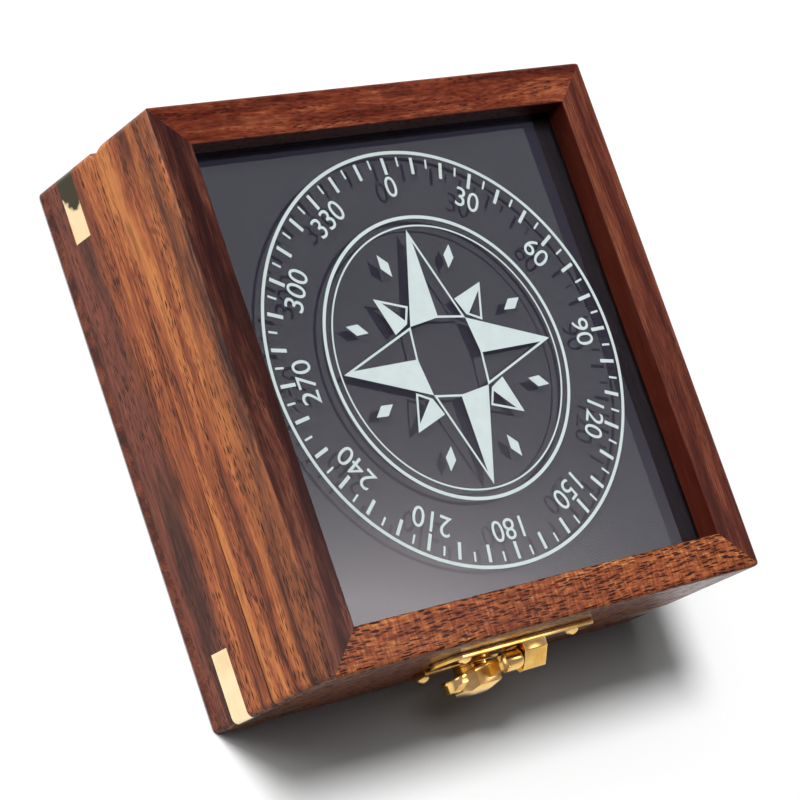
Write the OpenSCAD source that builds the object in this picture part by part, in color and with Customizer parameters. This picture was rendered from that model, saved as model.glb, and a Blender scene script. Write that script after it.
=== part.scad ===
// Boxed magnetic compass: a wooden case with a sunk glass in its lid, a brass catch,
// and a dry card compass hung in a gimbal ring inside.
// Origin: centre of the case's underside. Front (catch side) is -Y, hinges are at +Y.

/* [Case] */
// Outer width, left to right
case_w = 114; // [108:1:130]
// Outer depth, front to rear
case_d = 114; // [108:1:130]
// Height of the base, with its bottom board
base_h = 22; // [21:0.5:26]
// Height of the lid
lid_h = 20.5; // [19:0.5:26]
// Thickness of the mitred walls
wall_t = 8.5; // [8:0.1:9]
// Thickness of the bottom board
board_t = 3.2; // [2.4:0.1:3.4]
// Rounding of the long outer arrises
arris_r = 0.8; // [0.3:0.1:1.2]
// Rounding of the upright corners
corner_r = 1.6; // [0.8:0.1:2.4]
// Small chamfer on both sides of the parting line
parting_c = 0.25; // [0.1:0.05:0.4]
// Thickness of the baize on the case's floor
lining_t = 0.7; // [0.4:0.1:0.9]

/* [Groove for the hinges] */
// Depth of the V groove along the rear face
groove_d = 2.2; // [2:0.1:2.4]
// Height of the bevel on the lid
groove_lid_h = 3.8; // [3.4:0.1:4.2]
// Height of the bevel on the base
groove_base_h = 2.1; // [1.9:0.1:2.4]

/* [Lid glass] */
// Depth of the glass below the top of the frame
glass_recess = 5.5; // [4.5:0.1:6]
// Thickness of the pane
glass_t = 3; // [2:0.1:3.4]
// Depth of the rebate that holds the pane
rebate_w = 2.2; // [1.8:0.1:2.4]
// Gap around the pane in its rebate
glass_gap = 0.3; // [0.1:0.05:0.5]
// Thickness of the velvet behind the pane
velvet_t = 0.8; // [0.5:0.1:1.2]
// Thickness of the board that carries the velvet
backing_t = 2; // [1.5:0.1:2.5]

/* [Corner straps] */
// Length of each leg
strap_leg = 14.3; // [10:0.1:18]
// Height of the strap
strap_h = 5.5; // [4:0.1:7]
// Thickness of the strap, let in flush
strap_t = 1; // [0.6:0.1:1.4]
// Height of its lower edge
strap_z = 7.7; // [6:0.1:10]

/* [Hinges] */
// Distance of each hinge's middle from the case's side
hinge_in = 25; // [22:0.5:28]
// Length of a hinge
hinge_len = 24; // [20:1:30]
// Width of a leaf, from the pin's axis
leaf_w = 6; // [5.6:0.1:6.2]
// Thickness of a leaf
leaf_t = 0.9; // [0.7:0.1:1]
// Radius of the knuckles
knuckle_r = 1.7; // [1.5:0.1:1.8]
// Radius of the pin
hinge_pin_r = 0.8; // [0.6:0.1:0.9]
// Thickness of the pin's heads
hinge_pin_head_t = 0.35; // [0.25:0.05:0.5]
// Number of knuckles in a hinge, the odd ones on the base
knuckles = 5; // [3, 5, 7]
// Distance of the leaf's screws from the pin's axis
leaf_screw_y = 3.2; // [3.1:0.05:3.4]
// Distance between the leaf's two screws
leaf_screw_span = 14; // [11:1:16]

/* [Catch] */
// Width of the plate on the lid, along its lower edge
lid_plate_w = 41.6; // [38:0.2:46]
// Height of the plate on the lid
lid_plate_h = 7; // [6:0.1:8]
// Sideways place of the lid's plate
lid_plate_x = 1.9; // [0:0.1:3]
// Radius of the round ends of the plate on the lid
lid_plate_r = 9.3; // [8:0.1:12]
// Width of the plate on the base, along its upper edge
base_plate_w = 31; // [28:1:36]
// Height of the plate on the base
base_plate_h = 10.8; // [9.5:0.1:12]
// Radius of the round ends of the plate on the base
base_plate_r = 13; // [11.5:0.5:14]
// Distance from the parting line down to the plate on the base
base_plate_drop = 5.5; // [5:0.1:6.5]
// Thickness of both plates
plate_t = 1.2; // [0.9:0.05:1.4]
// Distance between the two screws in the lid's plate
lid_plate_screws = 29; // [27:0.5:31]
// Distance between the two screws in the base's plate
base_plate_screws = 22; // [19:0.5:24]
// Sideways place of the lever's pivot
pivot_x = 0; // [-0.5:0.1:0.5]
// Distance of the pivot below the parting line
pivot_drop = 10.5; // [9.5:0.1:11.5]
// Distance of the beak above the pivot
beak_reach = 13.6; // [13:0.1:14.2]
// Radius of the beak
beak_r = 1.2; // [0.9:0.05:1.3]
// How far the beak goes into the keeper
beak_in = 2.6; // [2:0.1:3]
// Radius of the thick neck behind the beak
neck_r = 2.1; // [1.9:0.05:2.2]
// Radius of the hole in the keeper
keeper_hole_r = 1.8; // [1.7:0.05:1.9]
// Sideways place of the keeper's near face
keeper_x = 1.2; // [1:0.1:2]
// Length of the keeper along the plate
keeper_len = 6; // [5.4:0.1:8]
// Height of the keeper
keeper_h = 6.8; // [6:0.1:7]
// How far the keeper stands out of its plate
keeper_out = 5.1; // [4.8:0.1:5.6]
// Length of the keeper's square part, before its chamfers
keeper_square = 1.6; // [1:0.1:2.2]
// Width of the flat on the keeper's front, between its chamfers
keeper_flat = 1.8; // [1:0.1:3]
// Length of the lever's raised boss
boss_len = 9.4; // [8:0.1:10]
// Height of the raised boss
boss_h = 8; // [7:0.1:9]
// How far the boss's ridge stands out of the case
boss_ridge = 7.6; // [7:0.1:8]
// Length of the lever's thumb tail beyond the boss
tail_len = 2.7; // [2.2:0.1:4]
// Height of the thumb tail
tail_h = 5.2; // [4.4:0.1:6]
// How far the tail's end is bent out of the case
tail_ridge = 6.4; // [5.8:0.1:6.6]
// Thickness of the lever's flange
flange_t = 0.7; // [0.6:0.1:1]
// How far the flange stands out round the boss and the tail
flange_step = 0.6; // [0.4:0.1:0.8]
// Radius of the pivot rivet
rivet_r = 1.3; // [1:0.05:1.5]

/* [Gimbals] */
// Height of the gimbal axes above the case's underside
gimbal_z = 19; // [18.6:0.1:19.2]
// Room between the ring and the case's walls
ring_space = 10.5; // [9:0.1:12]
// Gap between the bowl and the ring
ring_gap = 3.5; // [2.5:0.1:4]
// Thickness of the ring
ring_t = 3.5; // [3:0.1:4]
// Height of the ring
ring_h = 5; // [4:0.1:5.5]
// Radius of the trunnion pins
trunnion_r = 1; // [0.8:0.05:1.2]
// Thickness of the bracket's plate
bracket_t = 1.5; // [1.2:0.1:1.8]
// Width of the bracket's plate
bracket_w = 18; // [16:0.5:22]
// Height of the bracket's plate
bracket_h = 9; // [8.5:0.1:10]
// Radius of the bracket's bearing boss
boss_r = 2.3; // [2:0.1:2.4]

/* [Compass] */
// How far the thick band stands out of the bowl
band_out = 2.6; // [2.4:0.1:3]
// Wall of the bowl
bowl_t = 1.6; // [1.2:0.1:1.8]
// Depth of the bowl below the gimbal axes
bowl_below = 9.4; // [9:0.1:9.6]
// Rounding under the bowl
bowl_corner_r = 6; // [5.5:0.5:6.5]
// Height of the band's rim above the gimbal axes
rim_z = 1.5; // [1.4:0.1:1.8]
// Height of the band
band_h = 4.4; // [4:0.1:5]
// Thickness of the compass glass
bowl_glass_t = 1.8; // [1.4:0.1:2]
// Thickness of the gasket under it
gasket_t = 0.4; // [0.3:0.1:0.6]
// Thickness of the bezel's lip
bezel_lip_t = 0.8; // [0.6:0.1:1]
// Width of the bezel's top
bezel_lip_w = 4.8; // [4.4:0.1:6]
// Width of the bezel's wall outside the glass
bezel_wall = 1.9; // [1.8:0.1:2.2]
// Radius of the balance weight
weight_r = 12; // [10:0.5:13]
// Thickness of the balance weight
weight_t = 2.4; // [1.8:0.1:2.5]
// Gap between the card and the bowl's wall
card_gap = 3.2; // [2.6:0.1:5]
// Thickness of the card
card_t = 0.4; // [0.3:0.1:0.6]
// Height of the card's top below the gimbal axes
card_drop = 2; // [1.8:0.1:2.2]
// Distance of the magnet's ends from the card's edge
magnet_inset = 4.5; // [3:0.5:7]
// Width of the magnet bar
magnet_w = 5.4; // [5.2:0.1:6.5]
// Thickness of the magnet bar
magnet_t = 0.8; // [0.6:0.1:1]
// Radius of the cap at the card's centre
cap_r = 2; // [1.8:0.1:2.2]
// Radius of the jewel in the cap
jewel_r = 1.2; // [1:0.05:1.3]
// Radius of the pivot post
post_r = 1.7; // [1.4:0.1:2]
// Radius of the pivot's steel point
point_r = 0.45; // [0.3:0.05:0.5]

/* [Screws and pins] */
// Shank radius of the plate screws
screw_r = 0.8; // [0.6:0.05:0.9]
// Head radius of the plate screws
screw_head_r = 1.5; // [1.3:0.1:1.7]
// Head height of the plate screws
screw_head_h = 0.8; // [0.6:0.1:0.9]
// Length of the plate screws below the head
screw_len = 6; // [4:0.5:7]
// Shank radius of the hinge screws
hinge_screw_r = 0.6; // [0.5:0.05:0.7]
// Head radius of the hinge screws
hinge_screw_head_r = 1.2; // [1:0.05:1.3]
// Length of the hinge screws
hinge_screw_len = 7; // [5:0.5:9]
// Shank radius of the board pins
pin_r = 0.5; // [0.4:0.05:0.6]
// Head radius of the board pins
pin_head_r = 1.1; // [0.9:0.1:1.3]
// Length of the board pins
pin_len = 12; // [9:0.5:14]
// Shank radius of the bead brads
brad_r = 0.35; // [0.3:0.05:0.45]
// Length of the bead brads
brad_len = 5; // [4:0.5:6]
// Distance of the brads from the hinges
brad_clear = 3; // [2:0.5:5]

/* [Fits] */
// Gap around fixed shanks in their holes
press_gap = 0.02; // [0.01:0.01:0.05]
// Gap around shafts that turn
running_gap = 0.05; // [0.02:0.01:0.08]
// Gap between faces that pass each other
face_gap = 0.1; // [0.05:0.05:0.2]
// Gap around parts that swing
swing_gap = 0.3; // [0.2:0.05:0.4]

/* [Hidden] */
$fn = 64;

// Small allowance that carries a cut past the face it opens
over = 1;

// Heights
wall_h = base_h - board_t;
case_h = base_h + lid_h;
glass_top = case_h - glass_recess;
glass_bottom = glass_top - glass_t;
velvet_bottom = glass_bottom - velvet_t;
backing_bottom = velvet_bottom - backing_t;

// Inside of the case, and the pane in its rebate
inner_w = case_w - 2 * wall_t;
inner_d = case_d - 2 * wall_t;
pane_w = inner_w + 2 * (rebate_w - glass_gap);
pane_d = inner_d + 2 * (rebate_w - glass_gap);

// Hinge axis, at the apex of the groove
hinge_x = case_w / 2 - hinge_in;
hinge_y = case_d / 2 - groove_d;
knuckle_pitch = hinge_len / knuckles;
hinge_pin_head_out = 0.3;
hinge_pin_head_r = hinge_pin_r + hinge_pin_head_out;
brad_x = hinge_x - hinge_len / 2 - brad_clear;

// Catch, measured on the front face
lid_plate_up = 0.4;
lid_plate_bottom = base_h + lid_plate_up;
base_plate_top = base_h - base_plate_drop;
pivot_z = base_h - pivot_drop;
beak_z = pivot_z + beak_reach;
beak_up = 2.4;
beak_out = plate_t + beak_up;
lever_back = plate_t + face_gap;
lever_boss_t = 2.9;
lever_boss_r = 3.6;
arm_back = plate_t + screw_head_h + swing_gap;
arm_t = 2.8;
arm_right = -1.2;
arm_w = 3;

pin_sunk = 0.2;
pin_head_t = 0.5;
screw_slot = 0.5;
flat_slot = 0.35;
inner_arris_r = 0.4;
base_screw_up = 3.6;
base_screw_z = base_plate_top - base_plate_h + base_screw_up;
keeper_low = 0.35;
keeper_z = beak_z - keeper_low;
beak_rest = 1.6;
arm_left = arm_right - arm_w;
beak_root = asin((pivot_x - arm_left - arm_w / 2) / beak_reach);
beak_tip = asin((keeper_x + beak_in - pivot_x) / beak_reach);
neck_tip = asin((keeper_x - swing_gap - pivot_x) / (beak_reach + neck_r));
thumb_drop = 7.1;
thumb_z = beak_z - thumb_drop;
boss_right = -0.8;
boss_left = boss_right - boss_len;
boss_cut = 2.6;
boss_nick = 1;
boss_slope = 3.2;
boss_right_out = 5.6;
boss_left_out = 6.6;
boss_edge = 6.4;
boss_shoulder = 7.2;
boss_shoulder_h = 2.2;
boss_land = 0.8;
tail_end = boss_left - tail_len;
tail_edge = 5;
tail_shoulder = 6.1;
tail_shoulder_h = 1.7;
tail_land = 0.5;
tail_fall = 0.2;
flange_end = tail_end - flange_step;
flange_lift = 1.6;
rivet_root = 5;
rivet_head_r = 2.3;
rivet_head_t = 0.8;

// Gimbal and compass, heights above the gimbal axes
ring_out = min(inner_w, inner_d) / 2 - ring_space;
ring_in = ring_out - ring_t;
band_r = ring_in - ring_gap;
collar_step = 0.9;
collar_len = 4.2;
boss_end = ring_out + collar_len + swing_gap;
trunnion_short = 0.2;
trunnion_end = inner_w / 2 - trunnion_short;
bore_depth = 3;
bowl_r = band_r - band_out;
bowl_in = bowl_r - bowl_t;
floor_in = -bowl_below + bowl_t;
glass_low = rim_z + gasket_t;
glass_high = glass_low + bowl_glass_t;
bezel_top = glass_high + bezel_lip_t;
bowl_glass_r = band_r - bezel_wall - face_gap;
bezel_in_r = band_r - bezel_lip_w;
card_r = bowl_in - card_gap;
magnet_len = 2 * (card_r - magnet_inset);
card_top = -card_drop;
card_low = card_top - card_t;
magnet_low = card_low - magnet_t;
cap_below = 0.4;
cap_above = 1.6;
cap_roof = 0.8;
cap_low = magnet_low - cap_below;
cap_high = card_top + cap_above;
cap_flange_out = 1.6;
cap_flange_r = cap_r + cap_flange_out;
socket_r = jewel_r + press_gap;
jewel_t = 0.8;
jewel_top = cap_high - cap_roof;
cup_slope = 1.7;
tip_r = 0.05;
tip_z = jewel_top - jewel_t / 2 - running_gap;
post_top = cap_low - swing_gap;
bracket_drop = 0.5;
bracket_top = base_h - bracket_drop;
bracket_edge = 2.6;
trunnion_head_r = 1.9;
trunnion_head_t = 0.8;
post_shank_r = 1;
post_flange_out = 1.8;
post_flange_t = 0.8;
post_root_in = 0.4;
lubber_w = 0.8;
lubber_t = 0.5;
lubber_over_card = 1.2;
point_root = 1.8;
point_cone = 0.9;
cap_flange_t = 0.5;
bezel_screw_r = 0.45;
bezel_screw_head_r = 0.8;
bezel_screw_in = 2.2;

// Takes a member built along X, with its outer face on y = 0, to one side of the case
module on_side(side) {
    if (side == "front") translate([0, -case_d / 2, 0]) children();
    if (side == "rear") translate([0, case_d / 2, 0]) rotate([0, 0, 180]) children();
    if (side == "left") translate([-case_w / 2, 0, 0]) rotate([0, 0, -90]) children();
    if (side == "right") translate([case_w / 2, 0, 0]) rotate([0, 0, 90]) children();
}

function side_len(side) = (side == "front" || side == "rear") ? case_w : case_d;

// Front face as a drawing board: x across, y up, z out of the face
module on_front() {
    translate([0, -case_d / 2, 0]) rotate([90, 0, 0]) children();
}

// Takes an arris off along X, where the material lies at +y and -z of the origin
module arris_cut(length, r) {
    difference() {
        translate([-length / 2, -over, -r]) cube([length, over + r, r + over]);
        translate([-length / 2 - over, r, -r]) rotate([0, 90, 0])
            cylinder(h = length + 2 * over, r = r);
    }
}

// Small 45 degree chamfer along X, centred on the arris at the origin
module chamfer_cut(length, c) {
    rotate([45, 0, 0]) cube([length, c * sqrt(2), c * sqrt(2)], center = true);
}

// Rounded rectangle with true arcs
module plan(w, d, r) {
    square([w - 2 * r, d], center = true);
    square([w, d - 2 * r], center = true);
    for (x = [-1, 1], y = [-1, 1]) translate([x * (w / 2 - r), y * (d / 2 - r)]) circle(r);
}

// One mitred member of a frame, outer face on y = 0
module mitred(length, t, z, h) {
    translate([0, 0, z]) linear_extrude(h)
        polygon([[-length / 2, 0], [length / 2, 0], [length / 2 - t, t], [-length / 2 + t, t]]);
}

// The same, for a frame whose outer face lies inset from the member's own
module mitred_inset(length, inset, t, z, h) {
    translate([0, inset, 0]) mitred(length - 2 * inset, t, z, h);
}

// V groove along the rear, with its apex on the hinge axis
module hinge_groove() {
    reach = (groove_d + over) / groove_d;
    translate([-case_w / 2 - over, hinge_y, base_h]) rotate([90, 0, 90])
        linear_extrude(case_w + 2 * over) polygon([
            [0, 0], [groove_d * reach, groove_lid_h * reach], [groove_d * reach, -groove_base_h * reach]
        ]);
}

// Bed for one hinge in the base (up = -1) or in the lid (up = 1)
module hinge_bed(up) {
    bed_len = hinge_len + 2 * face_gap;
    channel = hinge_len + 2 * (hinge_pin_head_t + face_gap);
    for (s = [-1, 1]) translate([s * hinge_x, hinge_y, base_h]) {
        translate([-bed_len / 2, -leaf_w - face_gap, min(0, up * leaf_t) - (up > 0 ? over : 0)])
            cube([bed_len, leaf_w + face_gap, leaf_t + over]);
        translate([-channel / 2, 0, 0]) rotate([0, 90, 0])
            cylinder(h = channel, r = knuckle_r + swing_gap);
        for (x = [-1, 1]) translate([x * leaf_screw_span / 2, -leaf_screw_y, 0])
            cylinder(h = 2 * hinge_screw_len, r = hinge_screw_r + press_gap, center = true);
    }
}

// Holes for the pins under the case
module board_pins(head_r, shank_r, top) {
    for (a = [-1, 1], b = [-1, 1]) {
        translate([a * case_w / 4, b * (case_d - wall_t) / 2, 0]) board_pin(head_r, shank_r, top);
        translate([a * (case_w - wall_t) / 2, b * case_d / 4, 0]) board_pin(head_r, shank_r, top);
    }
}

module board_pin(head_r, shank_r, top) {
    translate([0, 0, pin_sunk]) cylinder(h = pin_head_t, r = head_r);
    translate([0, 0, pin_sunk]) cylinder(h = top - pin_sunk, r = shank_r);
}

// Screw with a slotted round head: the head stands above z = 0, the shank goes down
module round_screw(length) {
    difference() {
        intersection() {
            dome = (pow(screw_head_r, 2) + pow(screw_head_h, 2)) / (2 * screw_head_h);
            translate([0, 0, screw_head_h - dome]) sphere(dome);
            cylinder(h = screw_head_h, r = screw_head_r);
        }
        translate([-screw_head_r, -screw_slot / 2, screw_head_h / 2])
            cube([2 * screw_head_r, screw_slot, over]);
    }
    translate([0, 0, -length]) cylinder(h = length, r = screw_r);
}

// Screw with a slotted flat head, flush with z = 0
module flat_screw(length, head_r, shank_r) {
    sink = head_r - shank_r;
    difference() {
        translate([0, 0, -sink]) cylinder(h = sink, r1 = shank_r, r2 = head_r);
        translate([-head_r, -flat_slot / 2, -flat_slot]) cube([2 * head_r, flat_slot, over]);
    }
    translate([0, 0, -length]) cylinder(h = length - sink, r = shank_r);
}

// Hole and countersink for such a screw
module flat_screw_hole(length, head_r, shank_r) {
    sink = head_r - shank_r;
    translate([0, 0, -sink]) cylinder(h = sink, r1 = shank_r + press_gap, r2 = head_r + press_gap);
    translate([0, 0, -length]) cylinder(h = length, r = shank_r + press_gap);
    cylinder(h = over, r = head_r + press_gap);
}

module bottom_board() {
    color("saddlebrown") difference() {
        linear_extrude(board_t) plan(case_w, case_d, corner_r);
        for (side = ["front", "rear", "left", "right"])
            on_side(side) mirror([0, 0, 1]) arris_cut(side_len(side) + 2 * over, arris_r);
        board_pins(pin_head_r + press_gap, pin_r + press_gap, board_t + over);
        translate([0, 0, -over]) linear_extrude(over + pin_sunk) pin_mouths();
    }
}

module pin_mouths() {
    for (a = [-1, 1], b = [-1, 1]) {
        translate([a * case_w / 4, b * (case_d - wall_t) / 2]) circle(pin_head_r + press_gap);
        translate([a * (case_w - wall_t) / 2, b * case_d / 4]) circle(pin_head_r + press_gap);
    }
}

module bottom_pins() {
    color("goldenrod") board_pins(pin_head_r, pin_r, pin_len);
}

module base_wall(side) {
    color("sienna") difference() {
        intersection() {
            on_side(side) mitred(side_len(side), wall_t, board_t, wall_h);
            linear_extrude(base_h) plan(case_w, case_d, corner_r);
        }
        on_side(side) translate([0, 0, base_h]) chamfer_cut(side_len(side) + 2 * over, parting_c);
        hinge_groove();
        hinge_bed(-1);
        board_pins(pin_r + press_gap, pin_r + press_gap, pin_len);
        strap_beds();
        bracket_holes();
        on_front() {
            base_plate_screws_at() translate([0, 0, -screw_len])
                cylinder(h = screw_len + over, r = screw_r + press_gap);
            translate([pivot_x, pivot_z, -rivet_root])
                cylinder(h = rivet_root + over, r = rivet_r + press_gap);
        }
    }
}

// Strap let in round one corner; x and y choose the corner
module strap(x, y, play) {
    leg = strap_leg + play;
    intersection() {
        translate([0, 0, strap_z - play]) linear_extrude(strap_h + 2 * play) difference() {
            plan(case_w, case_d, corner_r);
            square([case_w - 2 * (strap_t + play), case_d - 2 * (strap_t + play)], center = true);
        }
        translate([x * (case_w - leg + over) / 2, y * (case_d - leg + over) / 2, base_h / 2])
            cube([leg + over, leg + over, base_h], center = true);
    }
}

module strap_beds() {
    for (x = [-1, 1], y = [-1, 1]) strap(x, y, 0);
}

module corner_strap(x, y) {
    color("khaki") strap(x, y, 0);
}

module floor_lining() {
    color("midnightblue") translate([0, 0, board_t])
        linear_extrude(lining_t) square([inner_w - 2 * face_gap, inner_d - 2 * face_gap], center = true);
}

module lid_rail(side) {
    length = side_len(side);
    color("saddlebrown") difference() {
        intersection() {
            on_side(side) mitred(length, wall_t, base_h, lid_h);
            translate([0, 0, base_h]) linear_extrude(lid_h) plan(case_w, case_d, corner_r);
        }
        on_side(side) {
            translate([0, 0, case_h]) arris_cut(length + 2 * over, arris_r);
            translate([0, wall_t, case_h]) mirror([0, 1, 0]) arris_cut(length + 2 * over, inner_arris_r);
            translate([0, 0, base_h]) chamfer_cut(length + 2 * over, parting_c);
            translate([-length / 2 - over, wall_t - rebate_w, base_h - over])
                cube([length + 2 * over, rebate_w + over, glass_top - base_h + over]);
            bead_brad_holes();
        }
        hinge_groove();
        hinge_bed(1);
        on_front() lid_plate_screws_at() translate([0, 0, -screw_len])
            cylinder(h = screw_len + over, r = screw_r + press_gap);
    }
}

module lid_glass() {
    color("lightsteelblue", 0.4) translate([0, 0, glass_bottom])
        linear_extrude(glass_t) square([pane_w, pane_d], center = true);
}

module velvet_sheet() {
    color("black") translate([0, 0, velvet_bottom])
        linear_extrude(velvet_t) square([pane_w, pane_d], center = true);
}

module backing_board() {
    color("dimgray") translate([0, 0, backing_bottom])
        linear_extrude(backing_t) square([pane_w, pane_d], center = true);
}

// Strip that fills the rebate under the backing board
module glass_bead(side) {
    color("brown") difference() {
        on_side(side)
            mitred_inset(side_len(side), wall_t - rebate_w, rebate_w, base_h, backing_bottom - base_h);
        on_side(side) bead_brad_holes();
        hinge_bed(1);
    }
}

module brad_places() {
    z = (base_h + leaf_t + backing_bottom) / 2;
    for (s = [-1, 1]) translate([s * brad_x, wall_t, z]) rotate([90, 0, 0]) children();
}

module bead_brad_holes() {
    brad_places() translate([0, 0, -over]) cylinder(h = brad_len + over, r = brad_r + press_gap);
}

module bead_brads() {
    color("gold") for (side = ["front", "rear", "left", "right"])
        on_side(side) brad_places() cylinder(h = brad_len, r = brad_r);
}

// Hinge leaf on the base, or on the lid when up is 1
module hinge_leaf(s, up) {
    first = up > 0 ? 1 : 0;
    plate_len = leaf_w - knuckle_r - face_gap;
    color("gold") translate([s * hinge_x, hinge_y, base_h]) mirror([0, 0, first]) difference() {
        union() {
            translate([-hinge_len / 2, -leaf_w, -leaf_t]) cube([hinge_len, plate_len, leaf_t - face_gap / 2]);
            for (i = [first:2:knuckles - 1])
                translate([-hinge_len / 2 + i * knuckle_pitch + face_gap / 2, 0, 0]) knuckle();
        }
        translate([-hinge_len / 2 - over, 0, 0]) rotate([0, 90, 0])
            cylinder(h = hinge_len + 2 * over, r = hinge_pin_r + running_gap);
        for (x = [-1, 1]) translate([x * leaf_screw_span / 2, -leaf_screw_y, -face_gap / 2])
            flat_screw_hole(2 * leaf_t, hinge_screw_head_r, hinge_screw_r);
    }
}

module knuckle() {
    rotate([0, 90, 0]) cylinder(h = knuckle_pitch - face_gap, r = knuckle_r);
    translate([0, -knuckle_r - 2 * face_gap, -leaf_t])
        cube([knuckle_pitch - face_gap, knuckle_r + 2 * face_gap, leaf_t - face_gap / 2]);
}

module hinge_pin(s) {
    color("darkgoldenrod") translate([s * hinge_x - hinge_len / 2, hinge_y, base_h]) rotate([0, 90, 0]) {
        translate([0, 0, -hinge_pin_head_t])
            cylinder(h = hinge_len + 2 * hinge_pin_head_t, r = hinge_pin_r);
        for (z = [-hinge_pin_head_t, hinge_len]) translate([0, 0, z])
            cylinder(h = hinge_pin_head_t, r = hinge_pin_head_r);
    }
}

module hinge_screws(up) {
    color("gold") for (s = [-1, 1], x = [-1, 1])
        translate([s * hinge_x + x * leaf_screw_span / 2, hinge_y - leaf_screw_y, base_h])
            mirror([0, 0, up > 0 ? 1 : 0]) translate([0, 0, -face_gap / 2])
                flat_screw(hinge_screw_len - over, hinge_screw_head_r, hinge_screw_r);
}

// Plate with round ends that start from its long edge, on the line y = edge, and h high above it
module catch_plate(w, h, edge, end_r) {
    translate([0, edge, 0]) linear_extrude(plate_t) intersection() {
        translate([-w / 2, 0]) square([w, h]);
        union() {
            for (s = [-1, 1]) translate([s * (w / 2 - end_r), 0]) circle(end_r);
            translate([end_r - w / 2, 0]) square([w - 2 * end_r, h]);
        }
    }
}

module lid_plate_screws_at() {
    translate([lid_plate_x, lid_plate_bottom + lid_plate_h / 2, plate_t])
        for (s = [-1, 1]) translate([s * lid_plate_screws / 2, 0, 0]) children();
}

module base_plate_screws_at() {
    for (s = [-1, 1]) translate([s * base_plate_screws / 2, base_screw_z, plate_t]) children();
}

// Section of the keeper: x out of the plate, y up from its middle
module keeper_section() {
    polygon([
        [0, -keeper_h / 2], [keeper_square, -keeper_h / 2], [keeper_out, -keeper_flat / 2],
        [keeper_out, keeper_flat / 2], [keeper_square, keeper_h / 2], [0, keeper_h / 2]
    ]);
}

module catch_lid_plate() {
    color("gold") on_front() difference() {
        union() {
            translate([lid_plate_x, 0, 0])
                catch_plate(lid_plate_w, lid_plate_h, lid_plate_bottom, lid_plate_r);
            translate([keeper_x + keeper_len, keeper_z, plate_t]) rotate([0, -90, 0])
                linear_extrude(keeper_len) keeper_section();
        }
        translate([keeper_x - over, keeper_z, beak_out]) rotate([0, 90, 0])
            cylinder(h = beak_in + beak_rest + over, r = keeper_hole_r);
        lid_plate_screws_at() translate([0, 0, -plate_t - over])
            cylinder(h = plate_t + 2 * over, r = screw_r + press_gap);
    }
}

module catch_lid_screws() {
    color("khaki") on_front() lid_plate_screws_at() round_screw(screw_len);
}

module catch_base_plate() {
    color("gold") on_front() difference() {
        translate([0, 2 * base_plate_top, 0]) mirror([0, 1, 0])
            catch_plate(base_plate_w, base_plate_h, base_plate_top, base_plate_r);
        base_plate_screws_at() translate([0, 0, -plate_t - over])
            cylinder(h = plate_t + 2 * over, r = screw_r + press_gap);
        translate([pivot_x, pivot_z, -over])
            cylinder(h = plate_t + 2 * over, r = rivet_r + press_gap);
    }
}

module catch_base_screws() {
    color("khaki") on_front() base_plate_screws_at() round_screw(screw_len);
}

// Front outline of the lever's raised boss, or of the flange behind it when grown
module boss_outline(grow) {
    left = boss_left - grow;
    high = boss_h / 2 + grow;
    translate([0, thumb_z]) polygon([
        [left, boss_cut - high], [left + boss_cut, -high], [boss_right - boss_nick, -high],
        [boss_right, boss_nick - high], [boss_right, high - boss_nick],
        [boss_right - boss_nick, high], [left + boss_cut, high], [left, high - boss_cut]
    ]);
}

// Front outline of the thumb tail, with its round end
module tail_outline(grow) {
    high = tail_h / 2 + grow;
    translate([tail_end + tail_h / 2, thumb_z]) {
        circle(high);
        translate([0, -high]) square([boss_left + boss_cut - tail_end - tail_h / 2, 2 * high]);
    }
}

// Shape with the given front outline (first child), plan (second) and cross section (third)
module three_views() {
    intersection() {
        linear_extrude(boss_ridge + over) children(0);
        translate([0, thumb_z, 0]) rotate([90, 0, 0]) linear_extrude(2 * boss_h, center = true) children(1);
        translate([tail_end - over, thumb_z, 0]) rotate([0, 90, 0]) rotate([0, 0, 90])
            linear_extrude(boss_len + tail_len + 2 * over) children(2);
    }
}

// Cross section with a flat ridge between two slopes: x up from the middle, y out of the case
module ridged(half_h, edge, shoulder_h, shoulder, land, ridge) {
    polygon([
        [-half_h, 0], [half_h, 0], [half_h, edge], [shoulder_h, shoulder], [land, ridge],
        [-land, ridge], [-shoulder_h, shoulder], [-half_h, edge]
    ]);
}

// How far the flange, bent outward from the arm, stands off at x
function flange_rise(x) = flange_lift * (arm_left - x) / (arm_left - flange_end);

// Thumb piece of the lever: a raised boss, a tail with a round end, and the flange behind both
module thumb_piece() {
    back = arm_back + flange_t / 2;
    tail_root = boss_left + boss_cut;
    three_views() {
        boss_outline(0);
        polygon([
            [boss_right, back], [boss_right, boss_right_out], [boss_right - boss_slope, boss_ridge],
            [boss_left + boss_slope, boss_ridge], [boss_left, boss_left_out],
            [boss_left, back + flange_rise(boss_left)], [arm_left, back]
        ]);
        ridged(boss_h / 2, boss_edge, boss_shoulder_h, boss_shoulder, boss_land, boss_ridge);
    }
    three_views() {
        tail_outline(0);
        polygon([
            [tail_root, back + flange_rise(tail_root)], [tail_root, tail_ridge],
            [boss_left, tail_ridge], [tail_end, tail_ridge - tail_fall],
            [tail_end, back + flange_rise(tail_end)]
        ]);
        ridged(tail_h / 2, tail_edge, tail_shoulder_h, tail_shoulder, tail_land, tail_ridge);
    }
    three_views() {
        union() {
            boss_outline(flange_step);
            tail_outline(flange_step);
        }
        polygon([
            [boss_right, arm_back], [boss_right, arm_back + flange_t], [arm_left, arm_back + flange_t],
            [flange_end, arm_back + flange_lift + flange_t], [flange_end, arm_back + flange_lift],
            [arm_left, arm_back]
        ]);
        translate([-boss_h, 0]) square([2 * boss_h, boss_ridge]);
    }
}

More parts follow.
